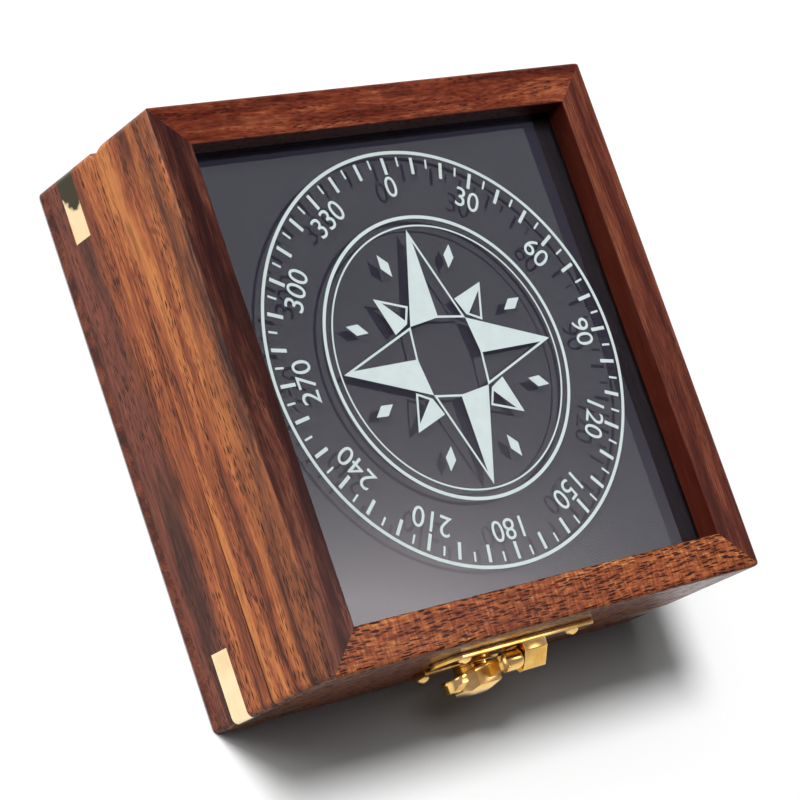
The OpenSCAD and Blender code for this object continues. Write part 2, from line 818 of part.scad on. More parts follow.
// Part of a ring round the pivot, between two angles measured from straight up
module arc_bar(r, left, right) {
    translate([pivot_x, pivot_z, beak_out]) rotate([0, 0, 90 - right])
        rotate_extrude(angle = left + right) translate([beak_reach, 0]) circle(r);
}

module catch_lever() {
    color("goldenrod") on_front() difference() {
        union() {
            translate([pivot_x, pivot_z, lever_back]) cylinder(h = lever_boss_t, r = lever_boss_r);
            translate([arm_left, pivot_z, arm_back]) cube([arm_w, beak_reach, arm_t]);
            translate([arm_left + arm_w / 2, beak_z, arm_back]) cylinder(h = arm_t, r = arm_w / 2);
            thumb_piece();
            arc_bar(neck_r, beak_root, neck_tip);
            arc_bar(beak_r, beak_root, beak_tip);
        }
        translate([pivot_x, pivot_z, 0])
            cylinder(h = lever_back + lever_boss_t + over, r = rivet_r + running_gap);
        translate([pivot_x, pivot_z, lever_back + lever_boss_t])
            cylinder(h = boss_ridge + over, r = rivet_head_r + swing_gap);
    }
}

module catch_rivet() {
    top = lever_back + lever_boss_t + face_gap;
    color("khaki") on_front() translate([pivot_x, pivot_z, 0]) {
        translate([0, 0, -rivet_root]) cylinder(h = rivet_root + top, r = rivet_r);
        translate([0, 0, top]) cylinder(h = rivet_head_t, r = rivet_head_r);
    }
}

module bracket_screws_at() {
    translate([0, 0, bracket_top - bracket_h + bracket_edge])
        for (s = [-1, 1]) translate([0, s * (bracket_w / 2 - bracket_edge), 0]) children();
}

module bracket_holes() {
    for (s = [-1, 1]) mirror([s < 0 ? 1 : 0, 0, 0]) bracket_screws_at()
        translate([inner_w / 2 - over, 0, 0]) rotate([0, 90, 0])
            cylinder(h = screw_len - bracket_t + over, r = screw_r + press_gap);
}

// Bearing plate for a trunnion of the gimbal ring
module gimbal_bracket(s) {
    color("gold") mirror([s < 0 ? 1 : 0, 0, 0]) difference() {
        union() {
            translate([inner_w / 2 - bracket_t, -bracket_w / 2, bracket_top - bracket_h])
                cube([bracket_t, bracket_w, bracket_h]);
            translate([boss_end, 0, gimbal_z]) rotate([0, 90, 0])
                cylinder(h = inner_w / 2 - bracket_t - boss_end + bracket_t / 2, r = boss_r);
        }
        translate([boss_end - over, 0, gimbal_z]) rotate([0, 90, 0])
            cylinder(h = inner_w / 2 - boss_end + 2 * over, r = trunnion_r + running_gap);
        bracket_screws_at() translate([inner_w / 2 - bracket_t - over, 0, 0]) rotate([0, 90, 0])
            cylinder(h = bracket_t + 2 * over, r = screw_r + press_gap);
    }
}

module bracket_screws() {
    color("khaki") for (s = [-1, 1]) mirror([s < 0 ? 1 : 0, 0, 0]) bracket_screws_at()
        translate([inner_w / 2 - bracket_t, 0, 0]) rotate([0, -90, 0]) round_screw(screw_len);
}

module gimbal_ring() {
    color("gold") translate([0, 0, gimbal_z]) difference() {
        translate([0, 0, -ring_h / 2]) difference() {
            cylinder(h = ring_h, r = ring_out);
            translate([0, 0, -over]) cylinder(h = ring_h + 2 * over, r = ring_in);
        }
        for (a = [0:90:270]) rotate([0, 90, a])
            cylinder(h = ring_out + over, r = trunnion_r + press_gap);
    }
}

// Trunnion along X, its head at the given distance from the middle
module trunnion(head_at, end_at, head_side) {
    head_low = head_side > 0 ? head_at : head_at - trunnion_head_t;
    slot_low = head_side > 0 ? trunnion_head_t - flat_slot : flat_slot - over;
    translate([min(head_at, end_at), 0, 0]) rotate([0, 90, 0])
        cylinder(h = abs(end_at - head_at), r = trunnion_r);
    translate([head_low, 0, 0]) rotate([0, 90, 0]) difference() {
        cylinder(h = trunnion_head_t, r = trunnion_head_r);
        translate([-flat_slot / 2, -trunnion_head_r, slot_low])
            cube([flat_slot, 2 * trunnion_head_r, over]);
    }
}

// Pins that carry the ring in its brackets, with a collar against side play
module outer_trunnions() {
    color("khaki") translate([0, 0, gimbal_z]) for (a = [0, 180]) rotate([0, 0, a]) {
        trunnion(ring_in - face_gap, trunnion_end, -1);
        translate([ring_out, 0, 0]) rotate([0, 90, 0])
            cylinder(h = collar_len, r = trunnion_r + collar_step);
    }
}

// Pins that carry the bowl in the ring
module inner_trunnions() {
    color("khaki") translate([0, 0, gimbal_z]) for (a = [90, 270]) rotate([0, 0, a])
        trunnion(ring_out, band_r - bore_depth + swing_gap, 1);
}

// Half section of a round pan with a rounded lower corner
module pan_section(r, low, high, corner) {
    translate([0, low]) square([r - corner, high - low]);
    translate([0, low + corner]) square([r, high - low - corner]);
    intersection() {
        translate([r - corner, low + corner]) circle(corner);
        translate([0, low]) square([r, corner]);
    }
}

module compass_bowl() {
    color("gold") translate([0, 0, gimbal_z]) difference() {
        union() {
            rotate_extrude() pan_section(bowl_r, -bowl_below, rim_z, bowl_corner_r);
            translate([0, 0, rim_z - band_h]) cylinder(h = band_h, r = band_r);
        }
        rotate_extrude() pan_section(bowl_in, floor_in, rim_z + over, bowl_corner_r - bowl_t);
        for (a = [90, 270]) rotate([0, 0, a]) translate([band_r - bore_depth, 0, 0]) rotate([0, 90, 0])
            cylinder(h = bore_depth + over, r = trunnion_r + running_gap);
        translate([0, 0, -bowl_below - over])
            cylinder(h = bowl_t + 2 * over, r = post_shank_r + press_gap);
        bezel_screws_at() translate([0, 0, rim_z - bezel_screw_in])
            cylinder(h = bezel_screw_in + over, r = bezel_screw_r + press_gap);
    }
}

module balance_weight() {
    color("dimgray") translate([0, 0, gimbal_z - bowl_below - weight_t]) difference() {
        cylinder(h = weight_t, r = weight_r);
        translate([0, 0, -over]) cylinder(h = weight_t + 2 * over, r = post_shank_r + press_gap);
    }
}

module bowl_gasket() {
    color("black") translate([0, 0, gimbal_z + rim_z]) difference() {
        cylinder(h = gasket_t, r = bowl_glass_r);
        translate([0, 0, -over]) cylinder(h = gasket_t + 2 * over, r = bowl_in + face_gap);
    }
}

module bowl_glass() {
    color("lightsteelblue", 0.4) translate([0, 0, gimbal_z + glass_low])
        cylinder(h = bowl_glass_t, r = bowl_glass_r);
}

module bezel_screws_at() {
    for (a = [45:90:315]) rotate([0, 0, a]) translate([band_r - bezel_wall / 2, 0, 0]) children();
}

module bezel_ring() {
    color("gold") translate([0, 0, gimbal_z]) difference() {
        translate([0, 0, rim_z]) cylinder(h = bezel_top - rim_z, r = band_r);
        translate([0, 0, rim_z - over]) cylinder(h = glass_high - rim_z + over, r = band_r - bezel_wall);
        translate([0, 0, rim_z]) cylinder(h = bezel_top, r = bezel_in_r);
        bezel_screws_at() translate([0, 0, bezel_top])
            flat_screw_hole(bezel_top - rim_z + over, bezel_screw_head_r, bezel_screw_r);
    }
}

module bezel_screws() {
    color("khaki") translate([0, 0, gimbal_z]) bezel_screws_at() translate([0, 0, bezel_top])
        flat_screw(bezel_top - rim_z + bezel_screw_in - face_gap, bezel_screw_head_r, bezel_screw_r);
}

// Mark at the front of the bowl that the bearing is read against
module lubber_pointer() {
    reach = card_gap + lubber_over_card;
    color("black") translate([-lubber_w / 2, -bowl_in + press_gap, gimbal_z + card_top + swing_gap])
        cube([lubber_w, reach, lubber_t]);
}

module pivot_post() {
    color("gold") translate([0, 0, gimbal_z]) difference() {
        union() {
            translate([0, 0, floor_in]) cylinder(h = post_top - floor_in, r = post_r);
            translate([0, 0, floor_in]) cylinder(h = post_flange_t, r = post_r + post_flange_out);
            translate([0, 0, -bowl_below - weight_t + post_root_in])
                cylinder(h = floor_in + bowl_below + weight_t, r = post_shank_r);
        }
        translate([0, 0, post_top - point_root])
            cylinder(h = point_root + over, r = point_r + press_gap);
    }
}

module pivot_point() {
    color("silver") translate([0, 0, gimbal_z]) {
        translate([0, 0, post_top - point_root])
            cylinder(h = tip_z - point_cone - post_top + point_root, r = point_r);
        translate([0, 0, tip_z - point_cone]) cylinder(h = point_cone, r1 = point_r, r2 = tip_r);
    }
}

module compass_card() {
    color("white") translate([0, 0, gimbal_z + card_low]) difference() {
        cylinder(h = card_t, r = card_r);
        translate([0, 0, -over]) cylinder(h = card_t + 2 * over, r = cap_r + press_gap);
    }
}

module magnet_bar() {
    end = magnet_w / 2;
    color("steelblue") translate([0, 0, gimbal_z + magnet_low]) difference() {
        linear_extrude(magnet_t) polygon([
            [-end, -magnet_len / 2 + end], [0, -magnet_len / 2], [end, -magnet_len / 2 + end],
            [end, magnet_len / 2 - end], [0, magnet_len / 2], [-end, magnet_len / 2 - end]
        ]);
        translate([0, 0, -over]) cylinder(h = magnet_t + 2 * over, r = cap_r + press_gap);
    }
}

module card_cap() {
    color("gold") translate([0, 0, gimbal_z]) difference() {
        union() {
            translate([0, 0, cap_low]) cylinder(h = cap_high - cap_low, r = cap_r);
            translate([0, 0, card_top]) cylinder(h = cap_flange_t, r = cap_flange_r);
        }
        translate([0, 0, cap_low - over]) cylinder(h = jewel_top - cap_low + over, r = socket_r);
    }
}

module cap_jewel() {
    color("crimson") translate([0, 0, gimbal_z + jewel_top - jewel_t]) difference() {
        cylinder(h = jewel_t, r = jewel_r);
        translate([0, 0, -over])
            cylinder(h = jewel_t / 2 + over, r1 = tip_r + cup_slope * (jewel_t / 2 + over), r2 = tip_r);
    }
}

bottom_board();
bottom_pins();
base_wall("front");  // base_wall_front
base_wall("rear");  // base_wall_rear
base_wall("left");  // base_wall_left
base_wall("right");  // base_wall_right
corner_strap(-1, -1);  // corner_strap_front_left
corner_strap(1, -1);  // corner_strap_front_right
corner_strap(-1, 1);  // corner_strap_rear_left
corner_strap(1, 1);  // corner_strap_rear_right
floor_lining();
lid_rail("front");  // lid_rail_front
lid_rail("rear");  // lid_rail_rear
lid_rail("left");  // lid_rail_left
lid_rail("right");  // lid_rail_right
lid_glass();
velvet_sheet();
backing_board();
glass_bead("front");  // glass_bead_front
glass_bead("rear");  // glass_bead_rear
glass_bead("left");  // glass_bead_left
glass_bead("right");  // glass_bead_right
bead_brads();
hinge_leaf(-1, -1);  // hinge_base_leaf_left
hinge_leaf(1, -1);  // hinge_base_leaf_right
hinge_leaf(-1, 1);  // hinge_lid_leaf_left
hinge_leaf(1, 1);  // hinge_lid_leaf_right
hinge_pin(-1);  // hinge_pin_left
hinge_pin(1);  // hinge_pin_right
hinge_screws(-1);  // hinge_base_screws
hinge_screws(1);  // hinge_lid_screws
catch_lid_plate();
catch_lid_screws();
catch_base_plate();
catch_base_screws();
catch_lever();
catch_rivet();
gimbal_bracket(-1);  // gimbal_bracket_left
gimbal_bracket(1);  // gimbal_bracket_right
bracket_screws();
gimbal_ring();
outer_trunnions();
inner_trunnions();
compass_bowl();
balance_weight();
bowl_gasket();
bowl_glass();
bezel_ring();
bezel_screws();
lubber_pointer();
pivot_post();
pivot_point();
compass_card();
magnet_bar();
card_cap();
cap_jewel();
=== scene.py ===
"""Looks for the boxed compass: rosewood case, printed glass over velvet, brass catch, gimballed compass."""

from math import cos, dist, pi, radians, sin

import bmesh
import bpy
from mathutils import Matrix, Vector


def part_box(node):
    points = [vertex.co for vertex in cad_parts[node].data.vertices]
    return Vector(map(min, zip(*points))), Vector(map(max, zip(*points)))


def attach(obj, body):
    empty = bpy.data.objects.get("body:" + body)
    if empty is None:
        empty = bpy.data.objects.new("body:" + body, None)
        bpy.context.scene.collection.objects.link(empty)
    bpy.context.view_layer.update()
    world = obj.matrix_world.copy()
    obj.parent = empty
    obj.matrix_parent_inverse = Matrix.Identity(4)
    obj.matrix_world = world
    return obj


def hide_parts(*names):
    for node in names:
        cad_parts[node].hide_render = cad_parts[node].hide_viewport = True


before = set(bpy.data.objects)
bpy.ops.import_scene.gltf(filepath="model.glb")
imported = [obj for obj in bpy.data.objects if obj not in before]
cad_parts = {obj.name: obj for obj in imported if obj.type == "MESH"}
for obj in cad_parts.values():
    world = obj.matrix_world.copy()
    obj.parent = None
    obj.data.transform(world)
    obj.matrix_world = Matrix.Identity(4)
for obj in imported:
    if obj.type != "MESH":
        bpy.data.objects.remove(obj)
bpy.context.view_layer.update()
MM = 0.001

# The camera that took the photograph, solved from the corners of the case
CAMERA_PLACE = (-0.37878, -0.10276, 0.47139)
CAMERA_FORWARD = (0.6321, 0.1670, -0.7567)
CAMERA_UP = (0.1482, 0.9324, 0.3296)
CAMERA_LENS = 132.05
SENSOR_WIDTH = 36


# Sizes taken from the frame, in metres

INSIDE_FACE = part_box("floor_lining")[1].x + 0.1 * MM
GLASS_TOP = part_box("lid_glass")[1].z
PARTING_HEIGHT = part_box("base_wall_left")[1].z
CARD_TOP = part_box("compass_card")[1].z
CARD_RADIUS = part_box("compass_card")[1].x


# Tools for nodes and colours


def linear(code):
    """The opaque linear colour of an sRGB hex code such as "#b0703a"."""
    channels = (int(code[i : i + 2], 16) / 255 for i in (1, 3, 5))
    return (*(c / 12.92 if c <= 0.04045 else ((c + 0.055) / 1.055) ** 2.4 for c in channels), 1.0)


def per_mm(along, across, down):
    """Scale at which one unit of a pattern is this many millimetres each way."""
    return (1 / (along * MM), 1 / (across * MM), 1 / (down * MM))


def add(tree, kind, sockets=None, stops=None, **settings):
    """Adds a node. sockets maps an input to a value or to the output that feeds it. stops are the
    places and colours of a ramp."""
    made = tree.nodes.new(kind)
    for key, value in settings.items():
        setattr(made, key, value)
    for key, value in (sockets or {}).items():
        if isinstance(value, bpy.types.NodeSocket):
            tree.links.new(value, made.inputs[key])
        else:
            made.inputs[key].default_value = value
    if stops:
        ramp = made.color_ramp.elements
        while len(ramp) < len(stops):
            ramp.new(1.0)
        for element, (place, colour) in zip(ramp, stops):
            element.position = place
            element.color = linear(colour)
    return made


def new_material(name):
    """An empty node material."""
    made = bpy.data.materials.new(name)
    made.use_nodes = True
    made.node_tree.nodes.clear()
    return made, made.node_tree


# Rosewood. Sizes are in millimetres along the fibres, across them and down.

DRIFT_MM = (48, 15, 15)
BAND_MM = (60, 4.6, 4.6)
STREAK_MM = (17, 1.9, 1.9)
CLUSTER_MM = (20, 2.6, 2.6)
RAY_MM = (0.5, 2.4, 2.4)
WANDER = 2 * MM
# Where each tone after the streaks stands, from dark to pale
TONE_STEPS = (0.37, 0.46, 0.54, 0.64)
# What each pattern adds to the tone, and where a pattern begins and where it is full
FIBRE_WEIGHT = 0.4
RING_WEIGHT = 0.022
RINGS = 60.0
SMOKE_SPAN = (0.57, 0.72)
CLUSTER_SPAN = (0.36, 0.6)
LAYER_RAGGED = 1.2 * MM
# Painted shade on the inside faces of the case, and the painted shadow along the parting line: its half
# width, and its share and reach from the rear to the front
INSIDE_SHADE = "#3a0b03"
INSIDE_SHADE_SHARE = 0.85
INSIDE_SHADE_FADE = 0.3 * MM
# Painted shadow of the gap where the lid meets the base
PARTING_SHADOW = "#160805"
PARTING_SHADOW_HALF = (0.1 * MM, 0.3 * MM)
PARTING_SHADOW_SHARE = (0.15, 0.85)
PARTING_SHADOW_SPAN = (5 * MM, -40 * MM)
# The roughness of the lacquer, what fibres and pores add to it, and the depth of the relief
SATIN = 0.24
SATIN_SPREAD = 0.25
PORE_ROUGHNESS = 0.3
WOOD_RELIEF = 0.07 * MM


def bent_grain(tree, at, turn, shift):
    """Coordinates along the fibres, which wander a little. turn and shift place the piece in the log."""
    grain = add(
        tree,
        "ShaderNodeMapping",
        {"Vector": at, "Rotation": (0, 0, turn), "Location": [s * MM for s in shift]},
    ).outputs[0]
    slow = add(
        tree, "ShaderNodeVectorMath", {0: grain, 1: per_mm(*DRIFT_MM)}, operation="MULTIPLY"
    ).outputs[0]
    drift = add(tree, "ShaderNodeTexNoise", {"Vector": slow, "Scale": 1, "Detail": 2}).outputs["Color"]
    push = add(
        tree,
        "ShaderNodeVectorMath",
        {0: drift, 1: (0, 2 * WANDER, 2 * WANDER), 2: (0, -WANDER, -WANDER)},
        operation="MULTIPLY_ADD",
    ).outputs[0]
    return add(tree, "ShaderNodeVectorMath", {0: grain, 1: push}, operation="ADD").outputs[0]


def grain_patterns(tree, bent, fibre_mm):
    """The soft patterns that the wood's colour and gloss are mixed from, by name."""
    patterns = {}
    for key, size, detail, rough in (
        ("bands", BAND_MM, 3, 0.5),
        ("fibres", fibre_mm, 3, 0.6),
        ("streaks", STREAK_MM, 2, 0.45),
        ("clusters", CLUSTER_MM, 1, 0.5),
        ("rays", RAY_MM, 1, 0.5),
    ):
        sized = add(
            tree, "ShaderNodeVectorMath", {0: bent, 1: per_mm(*size)}, operation="MULTIPLY"
        ).outputs[0]
        patterns[key] = add(
            tree,
            "ShaderNodeTexNoise",
            {"Vector": sized, "Scale": 1, "Detail": detail, "Roughness": rough},
        ).outputs["Fac"]
    return patterns


def wood_tone(tree, patterns, hatch, band_share):
    """Where each spot stands between the darkest band and the palest."""
    rings = add(
        tree, "ShaderNodeMath", {0: patterns["bands"], 1: RINGS}, operation="MULTIPLY"
    ).outputs[0]
    rings = add(tree, "ShaderNodeMath", {0: rings}, operation="SINE").outputs[0]
    tone = add(
        tree,
        "ShaderNodeMath",
        {0: patterns["fibres"], 1: FIBRE_WEIGHT, 2: -(FIBRE_WEIGHT + hatch) / 2},
        operation="MULTIPLY_ADD",
    ).outputs[0]
    tone = add(
        tree, "ShaderNodeMath", {0: patterns["rays"], 1: hatch, 2: tone}, operation="MULTIPLY_ADD"
    ).outputs[0]
    tone = add(
        tree, "ShaderNodeMath", {0: rings, 1: RING_WEIGHT, 2: tone}, operation="MULTIPLY_ADD"
    ).outputs[0]
    tone = add(
        tree,
        "ShaderNodeMath",
        {0: patterns["bands"], 1: band_share, 2: tone},
        operation="MULTIPLY_ADD",
    ).outputs[0]
    return add(
        tree, "ShaderNodeMath", {0: tone, 1: (1 - band_share) / 2}, operation="ADD"
    ).outputs[0]


def streaked(tree, patterns, tone, tones, heart):
    """The colour of the bands, with smoky near-black streaks over them."""
    body = add(tree, "ShaderNodeValToRGB", {0: tone}, stops=list(zip(TONE_STEPS, tones[1:]))).outputs[0]
    smoke = add(
        tree,
        "ShaderNodeMapRange",
        {
            "Value": patterns["streaks"],
            "From Min": SMOKE_SPAN[0],
            "From Max": SMOKE_SPAN[1],
            "To Max": heart,
        },
    ).outputs[0]
    return add(
        tree, "ShaderNodeMix", {0: smoke, 6: body, 7: linear(tones[0])}, data_type="RGBA"
    ).outputs[2]


def with_layer(tree, at, patterns, tone, body, layer):
    """The colour, darker over one zone of the piece."""
    axis, start, end, dark = layer
    where = add(tree, "ShaderNodeSeparateXYZ", {0: at}).outputs[axis]
    ragged = add(
        tree,
        "ShaderNodeMath",
        {0: patterns["streaks"], 1: LAYER_RAGGED, 2: where},
        operation="MULTIPLY_ADD",
    ).outputs[0]
    depth = add(
        tree,
        "ShaderNodeMapRange",
        {"Value": ragged, "From Min": start * MM, "From Max": end * MM},
    ).outputs[0]
    deep = add(tree, "ShaderNodeValToRGB", {0: tone}, stops=list(zip(TONE_STEPS, dark))).outputs[0]
    return add(tree, "ShaderNodeMix", {0: depth, 6: body, 7: deep}, data_type="RGBA").outputs[2]


def stained_inside(tree, at, body):
    """The colour, with painted shade darkening the inside faces of the case nearly black-red."""
    sides = add(tree, "ShaderNodeVectorMath", {0: at}, operation="ABSOLUTE").outputs[0]
    split = add(tree, "ShaderNodeSeparateXYZ", {0: sides}).outputs
    reach = add(tree, "ShaderNodeMath", {0: split[0], 1: split[1]}, operation="MAXIMUM").outputs[0]
    inside = add(
        tree,
        "ShaderNodeMapRange",
        {
            "Value": reach,
            "From Min": INSIDE_FACE,
            "From Max": INSIDE_FACE + INSIDE_SHADE_FADE,
            "To Min": INSIDE_SHADE_SHARE,
            "To Max": 0,
        },
    ).outputs[0]
    return add(
        tree, "ShaderNodeMix", {0: inside, 6: body, 7: linear(INSIDE_SHADE)}, data_type="RGBA"
    ).outputs[2]


def dusty_parting_line(tree, at, body):
    """The colour, with a painted shadow of the gap along the two arrises where the lid meets the base,
    darkest near the front."""
    spots = add(tree, "ShaderNodeSeparateXYZ", {0: at}).outputs
    level = add(tree, "ShaderNodeMath", {0: spots[2], 1: -PARTING_HEIGHT}, operation="ADD").outputs[0]
    level = add(tree, "ShaderNodeMath", {0: level}, operation="ABSOLUTE").outputs[0]
    shadow_share = add(
        tree,
        "ShaderNodeMapRange",
        {
            "Value": spots[1],
            "From Min": PARTING_SHADOW_SPAN[0],
            "From Max": PARTING_SHADOW_SPAN[1],
            "To Min": PARTING_SHADOW_SHARE[0],
            "To Max": PARTING_SHADOW_SHARE[1],
        },
    ).outputs[0]
    line = add(
        tree,
        "ShaderNodeMapRange",
        {
            "Value": level,
            "From Min": PARTING_SHADOW_HALF[0],
            "From Max": PARTING_SHADOW_HALF[1],
            "To Min": shadow_share,
            "To Max": 0,
        },
    ).outputs[0]
    return add(
        tree, "ShaderNodeMix", {0: line, 6: body, 7: linear(PARTING_SHADOW)}, data_type="RGBA"
    ).outputs[2]


def open_pores(tree, bent, patterns, pore_mm, pore_share, pore_edge):
    """1 in an open pore and 0 in the wood round it. The pores are short dashes that gather in clusters."""
    cells = add(
        tree, "ShaderNodeVectorMath", {0: bent, 1: per_mm(*pore_mm)}, operation="MULTIPLY"
    ).outputs[0]
    nearest = add(tree, "ShaderNodeTexVoronoi", {"Vector": cells, "Scale": 1}).outputs["Distance"]
    pore = add(
        tree,
        "ShaderNodeMapRange",
        {"Value": nearest, "From Min": pore_edge[0], "From Max": pore_edge[1], "To Min": 1, "To Max": 0},
    ).outputs[0]
    here = add(
        tree,
        "ShaderNodeMapRange",
        {
            "Value": patterns["clusters"],
            "From Min": CLUSTER_SPAN[0],
            "From Max": CLUSTER_SPAN[1],
            "To Min": pore_share,
        },
    ).outputs[0]
    return add(tree, "ShaderNodeMath", {0: pore, 1: here}, operation="MULTIPLY").outputs[0]


def rosewood(
    name,
    turn,
    shift,
    tones,
    fibre_mm,
    pore_mm,
    pore_depth,
    pore_share=0.1,
    pore_edge=(0.22, 0.42),
    hatch=0.0,
    band_share=1.0,
    heart=0.8,
    layers=(),
):
    """Oiled and lacquered Indian rosewood: tan to red-brown bands with near-black streaks along the
    grain, open pores that read as short dark dashes, fine cross rays on a quarter-sawn face, and a
    soft satin film over it all. Fibres and pores are coarser than life, or they wouldn't show.

    turn and shift place the piece in the log. tones run from the streaks to the palest band. hatch is
    the strength of the rays, heart that of the streaks, band_share that of the bands. pore_share is
    how many pores show between their clusters, and pore_edge is where a pore is full and where it ends.
    layers are zones where the piece is darker: an axis, where on it one begins and where it is full, in
    millimetres, and its tones."""
    made, tree = new_material(name)
    at = add(tree, "ShaderNodeTexCoord").outputs["Object"]
    bent = bent_grain(tree, at, turn, shift)
    patterns = grain_patterns(tree, bent, fibre_mm)
    tone = wood_tone(tree, patterns, hatch, band_share)
    body = streaked(tree, patterns, tone, tones, heart)
    for layer in layers:
        body = with_layer(tree, at, patterns, tone, body, layer)
    # Painted shade on the inside faces
    body = stained_inside(tree, at, body)
    # Painted shadow along the parting line
    body = dusty_parting_line(tree, at, body)
    pore = open_pores(tree, bent, patterns, pore_mm, pore_share, pore_edge)
    shown = add(tree, "ShaderNodeMath", {0: pore, 1: pore_depth}, operation="MULTIPLY").outputs[0]
    colour = add(
        tree, "ShaderNodeMix", {0: shown, 6: body, 7: linear(tones[0])}, data_type="RGBA"
    ).outputs[2]

    rough = add(
        tree,
        "ShaderNodeMath",
        {0: patterns["fibres"], 1: SATIN_SPREAD, 2: SATIN},
        operation="MULTIPLY_ADD",
    ).outputs[0]
    rough = add(
        tree, "ShaderNodeMath", {0: pore, 1: PORE_ROUGHNESS, 2: rough}, operation="MULTIPLY_ADD"
    ).outputs[0]
    height = add(
        tree, "ShaderNodeMath", {0: pore, 1: -1.0, 2: patterns["fibres"]}, operation="MULTIPLY_ADD"
    ).outputs[0]
    relief = add(
        tree, "ShaderNodeBump", {"Height": height, "Strength": 0.55, "Distance": WOOD_RELIEF}
    ).outputs[0]
    shader = add(
        tree,
        "ShaderNodeBsdfPrincipled",
        {
            "Base Color": colour,
            "Roughness": rough,
            "Normal": relief,
            "Specular IOR Level": 0.05,
            "Coat Weight": 0.3,
            "Coat Roughness": 0.1,
            "Coat IOR": 1.25,
        },
    )
    add(tree, "ShaderNodeOutputMaterial", {"Surface": shader.outputs[0]})
    return made


# Brass, paint and glass

# The cloudy patches, and a painted dark reflection on one strap
CLOUD_MM = 5
DULL_UNTIL = 0.35
BRIGHT_FROM = 0.6
REFLECTION_DARK = "#14160a"
REFLECTION_DARK_SHARE = 0.95
REFLECTION_DARK_EDGE = 0.6 * MM
REFLECTION_DARK_RAGGED = 7 * MM
# The roughness of a dulled spot and of a buffed one, as shares of the given one
DULLED = 1.5
BUFFED = 0.6
BUFF_RELIEF = 0.02 * MM


def tarnished(tree, at, cloud, colour, place, reach):
    """The colour with a painted dark olive reflection: a ragged patch round a place, both in millimetres.
    """
    spot = [c * MM for c in place]
    apart = add(tree, "ShaderNodeVectorMath", {0: at, 1: spot}, operation="DISTANCE").outputs["Value"]
    apart = add(
        tree, "ShaderNodeMath", {0: cloud, 1: REFLECTION_DARK_RAGGED, 2: apart}, operation="MULTIPLY_ADD"
    ).outputs[0]
    patch = add(
        tree,
        "ShaderNodeMapRange",
        {
            "Value": apart,
            "From Min": reach * MM,
            "From Max": reach * MM + REFLECTION_DARK_EDGE,
            "To Min": REFLECTION_DARK_SHARE,
            "To Max": 0,
        },
    ).outputs[0]
    return add(
        tree, "ShaderNodeMix", {0: patch, 6: colour, 7: linear(REFLECTION_DARK)}, data_type="RGBA"
    ).outputs[2]


def brass(name, bright, dull, roughness, scratch_mm, dark_reflection=None):
    """Yellow brass, cast or rolled, then buffed: a warm mirror with faint buffing lines and slow cloudy
    patches where fingers have dulled it. dark_reflection is the place and reach, in millimetres, of a
    painted dark reflection."""
    made, tree = new_material(name)
    at = add(tree, "ShaderNodeTexCoord").outputs["Object"]
    cloud = add(
        tree, "ShaderNodeTexNoise", {"Vector": at, "Scale": 1 / (CLOUD_MM * MM), "Detail": 4}
    ).outputs["Fac"]
    colour = add(
        tree, "ShaderNodeValToRGB", {0: cloud}, stops=[(DULL_UNTIL, dull), (BRIGHT_FROM, bright)]
    ).outputs[0]
    # A painted dark reflection over the brass colour
    if dark_reflection:
        colour = tarnished(tree, at, cloud, colour, *dark_reflection)
    lines = add(
        tree, "ShaderNodeVectorMath", {0: at, 1: per_mm(*scratch_mm)}, operation="MULTIPLY"
    ).outputs[0]
    buff = add(
        tree, "ShaderNodeTexNoise", {"Vector": lines, "Scale": 1, "Detail": 3, "Roughness": 0.65}
    ).outputs["Fac"]
    rough = add(
        tree,
        "ShaderNodeMapRange",
        {"Value": cloud, "To Min": roughness * DULLED, "To Max": roughness * BUFFED},
    ).outputs[0]
    relief = add(
        tree, "ShaderNodeBump", {"Height": buff, "Strength": 0.25, "Distance": BUFF_RELIEF}
    ).outputs[0]
    shader = add(
        tree,
        "ShaderNodeBsdfPrincipled",
        {"Base Color": colour, "Metallic": 1.0, "Roughness": rough, "Normal": relief},
    )
    add(tree, "ShaderNodeOutputMaterial", {"Surface": shader.outputs[0]})
    return made


GRIT_MM = 0.25
# The roughness where a surface is worn dull and where it is smooth, as shares of the given one
WORN = 1.25
SMOOTH = 0.75


def plain_surface(name, light, dark, patch_mm, roughness, metallic=0.0, relief_mm=0.02, coat=0.0):
    """A quiet surface with slow clouding and a fine grain, for paint, card, steel, lead and rubber."""
    made, tree = new_material(name)
    at = add(tree, "ShaderNodeTexCoord").outputs["Object"]
    cloud = add(
        tree, "ShaderNodeTexNoise", {"Vector": at, "Scale": 1 / (patch_mm * MM), "Detail": 5}
    ).outputs["Fac"]
    colour = add(
        tree, "ShaderNodeValToRGB", {0: cloud}, stops=[(0.35, dark), (0.65, light)]
    ).outputs[0]
    rough = add(
        tree,
        "ShaderNodeMapRange",
        {"Value": cloud, "To Min": roughness * WORN, "To Max": roughness * SMOOTH},
    ).outputs[0]
    grit = add(
        tree, "ShaderNodeTexNoise", {"Vector": at, "Scale": 1 / (GRIT_MM * MM), "Detail": 2}
    ).outputs["Fac"]
    relief = add(
        tree, "ShaderNodeBump", {"Height": grit, "Strength": 0.3, "Distance": relief_mm * MM}
    ).outputs[0]
    shader = add(
        tree,
        "ShaderNodeBsdfPrincipled",
        {
            "Base Color": colour,
            "Metallic": metallic,
            "Roughness": rough,
            "Normal": relief,
            "Coat Weight": coat,
        },
    )
    add(tree, "ShaderNodeOutputMaterial", {"Surface": shader.outputs[0]})
    return made


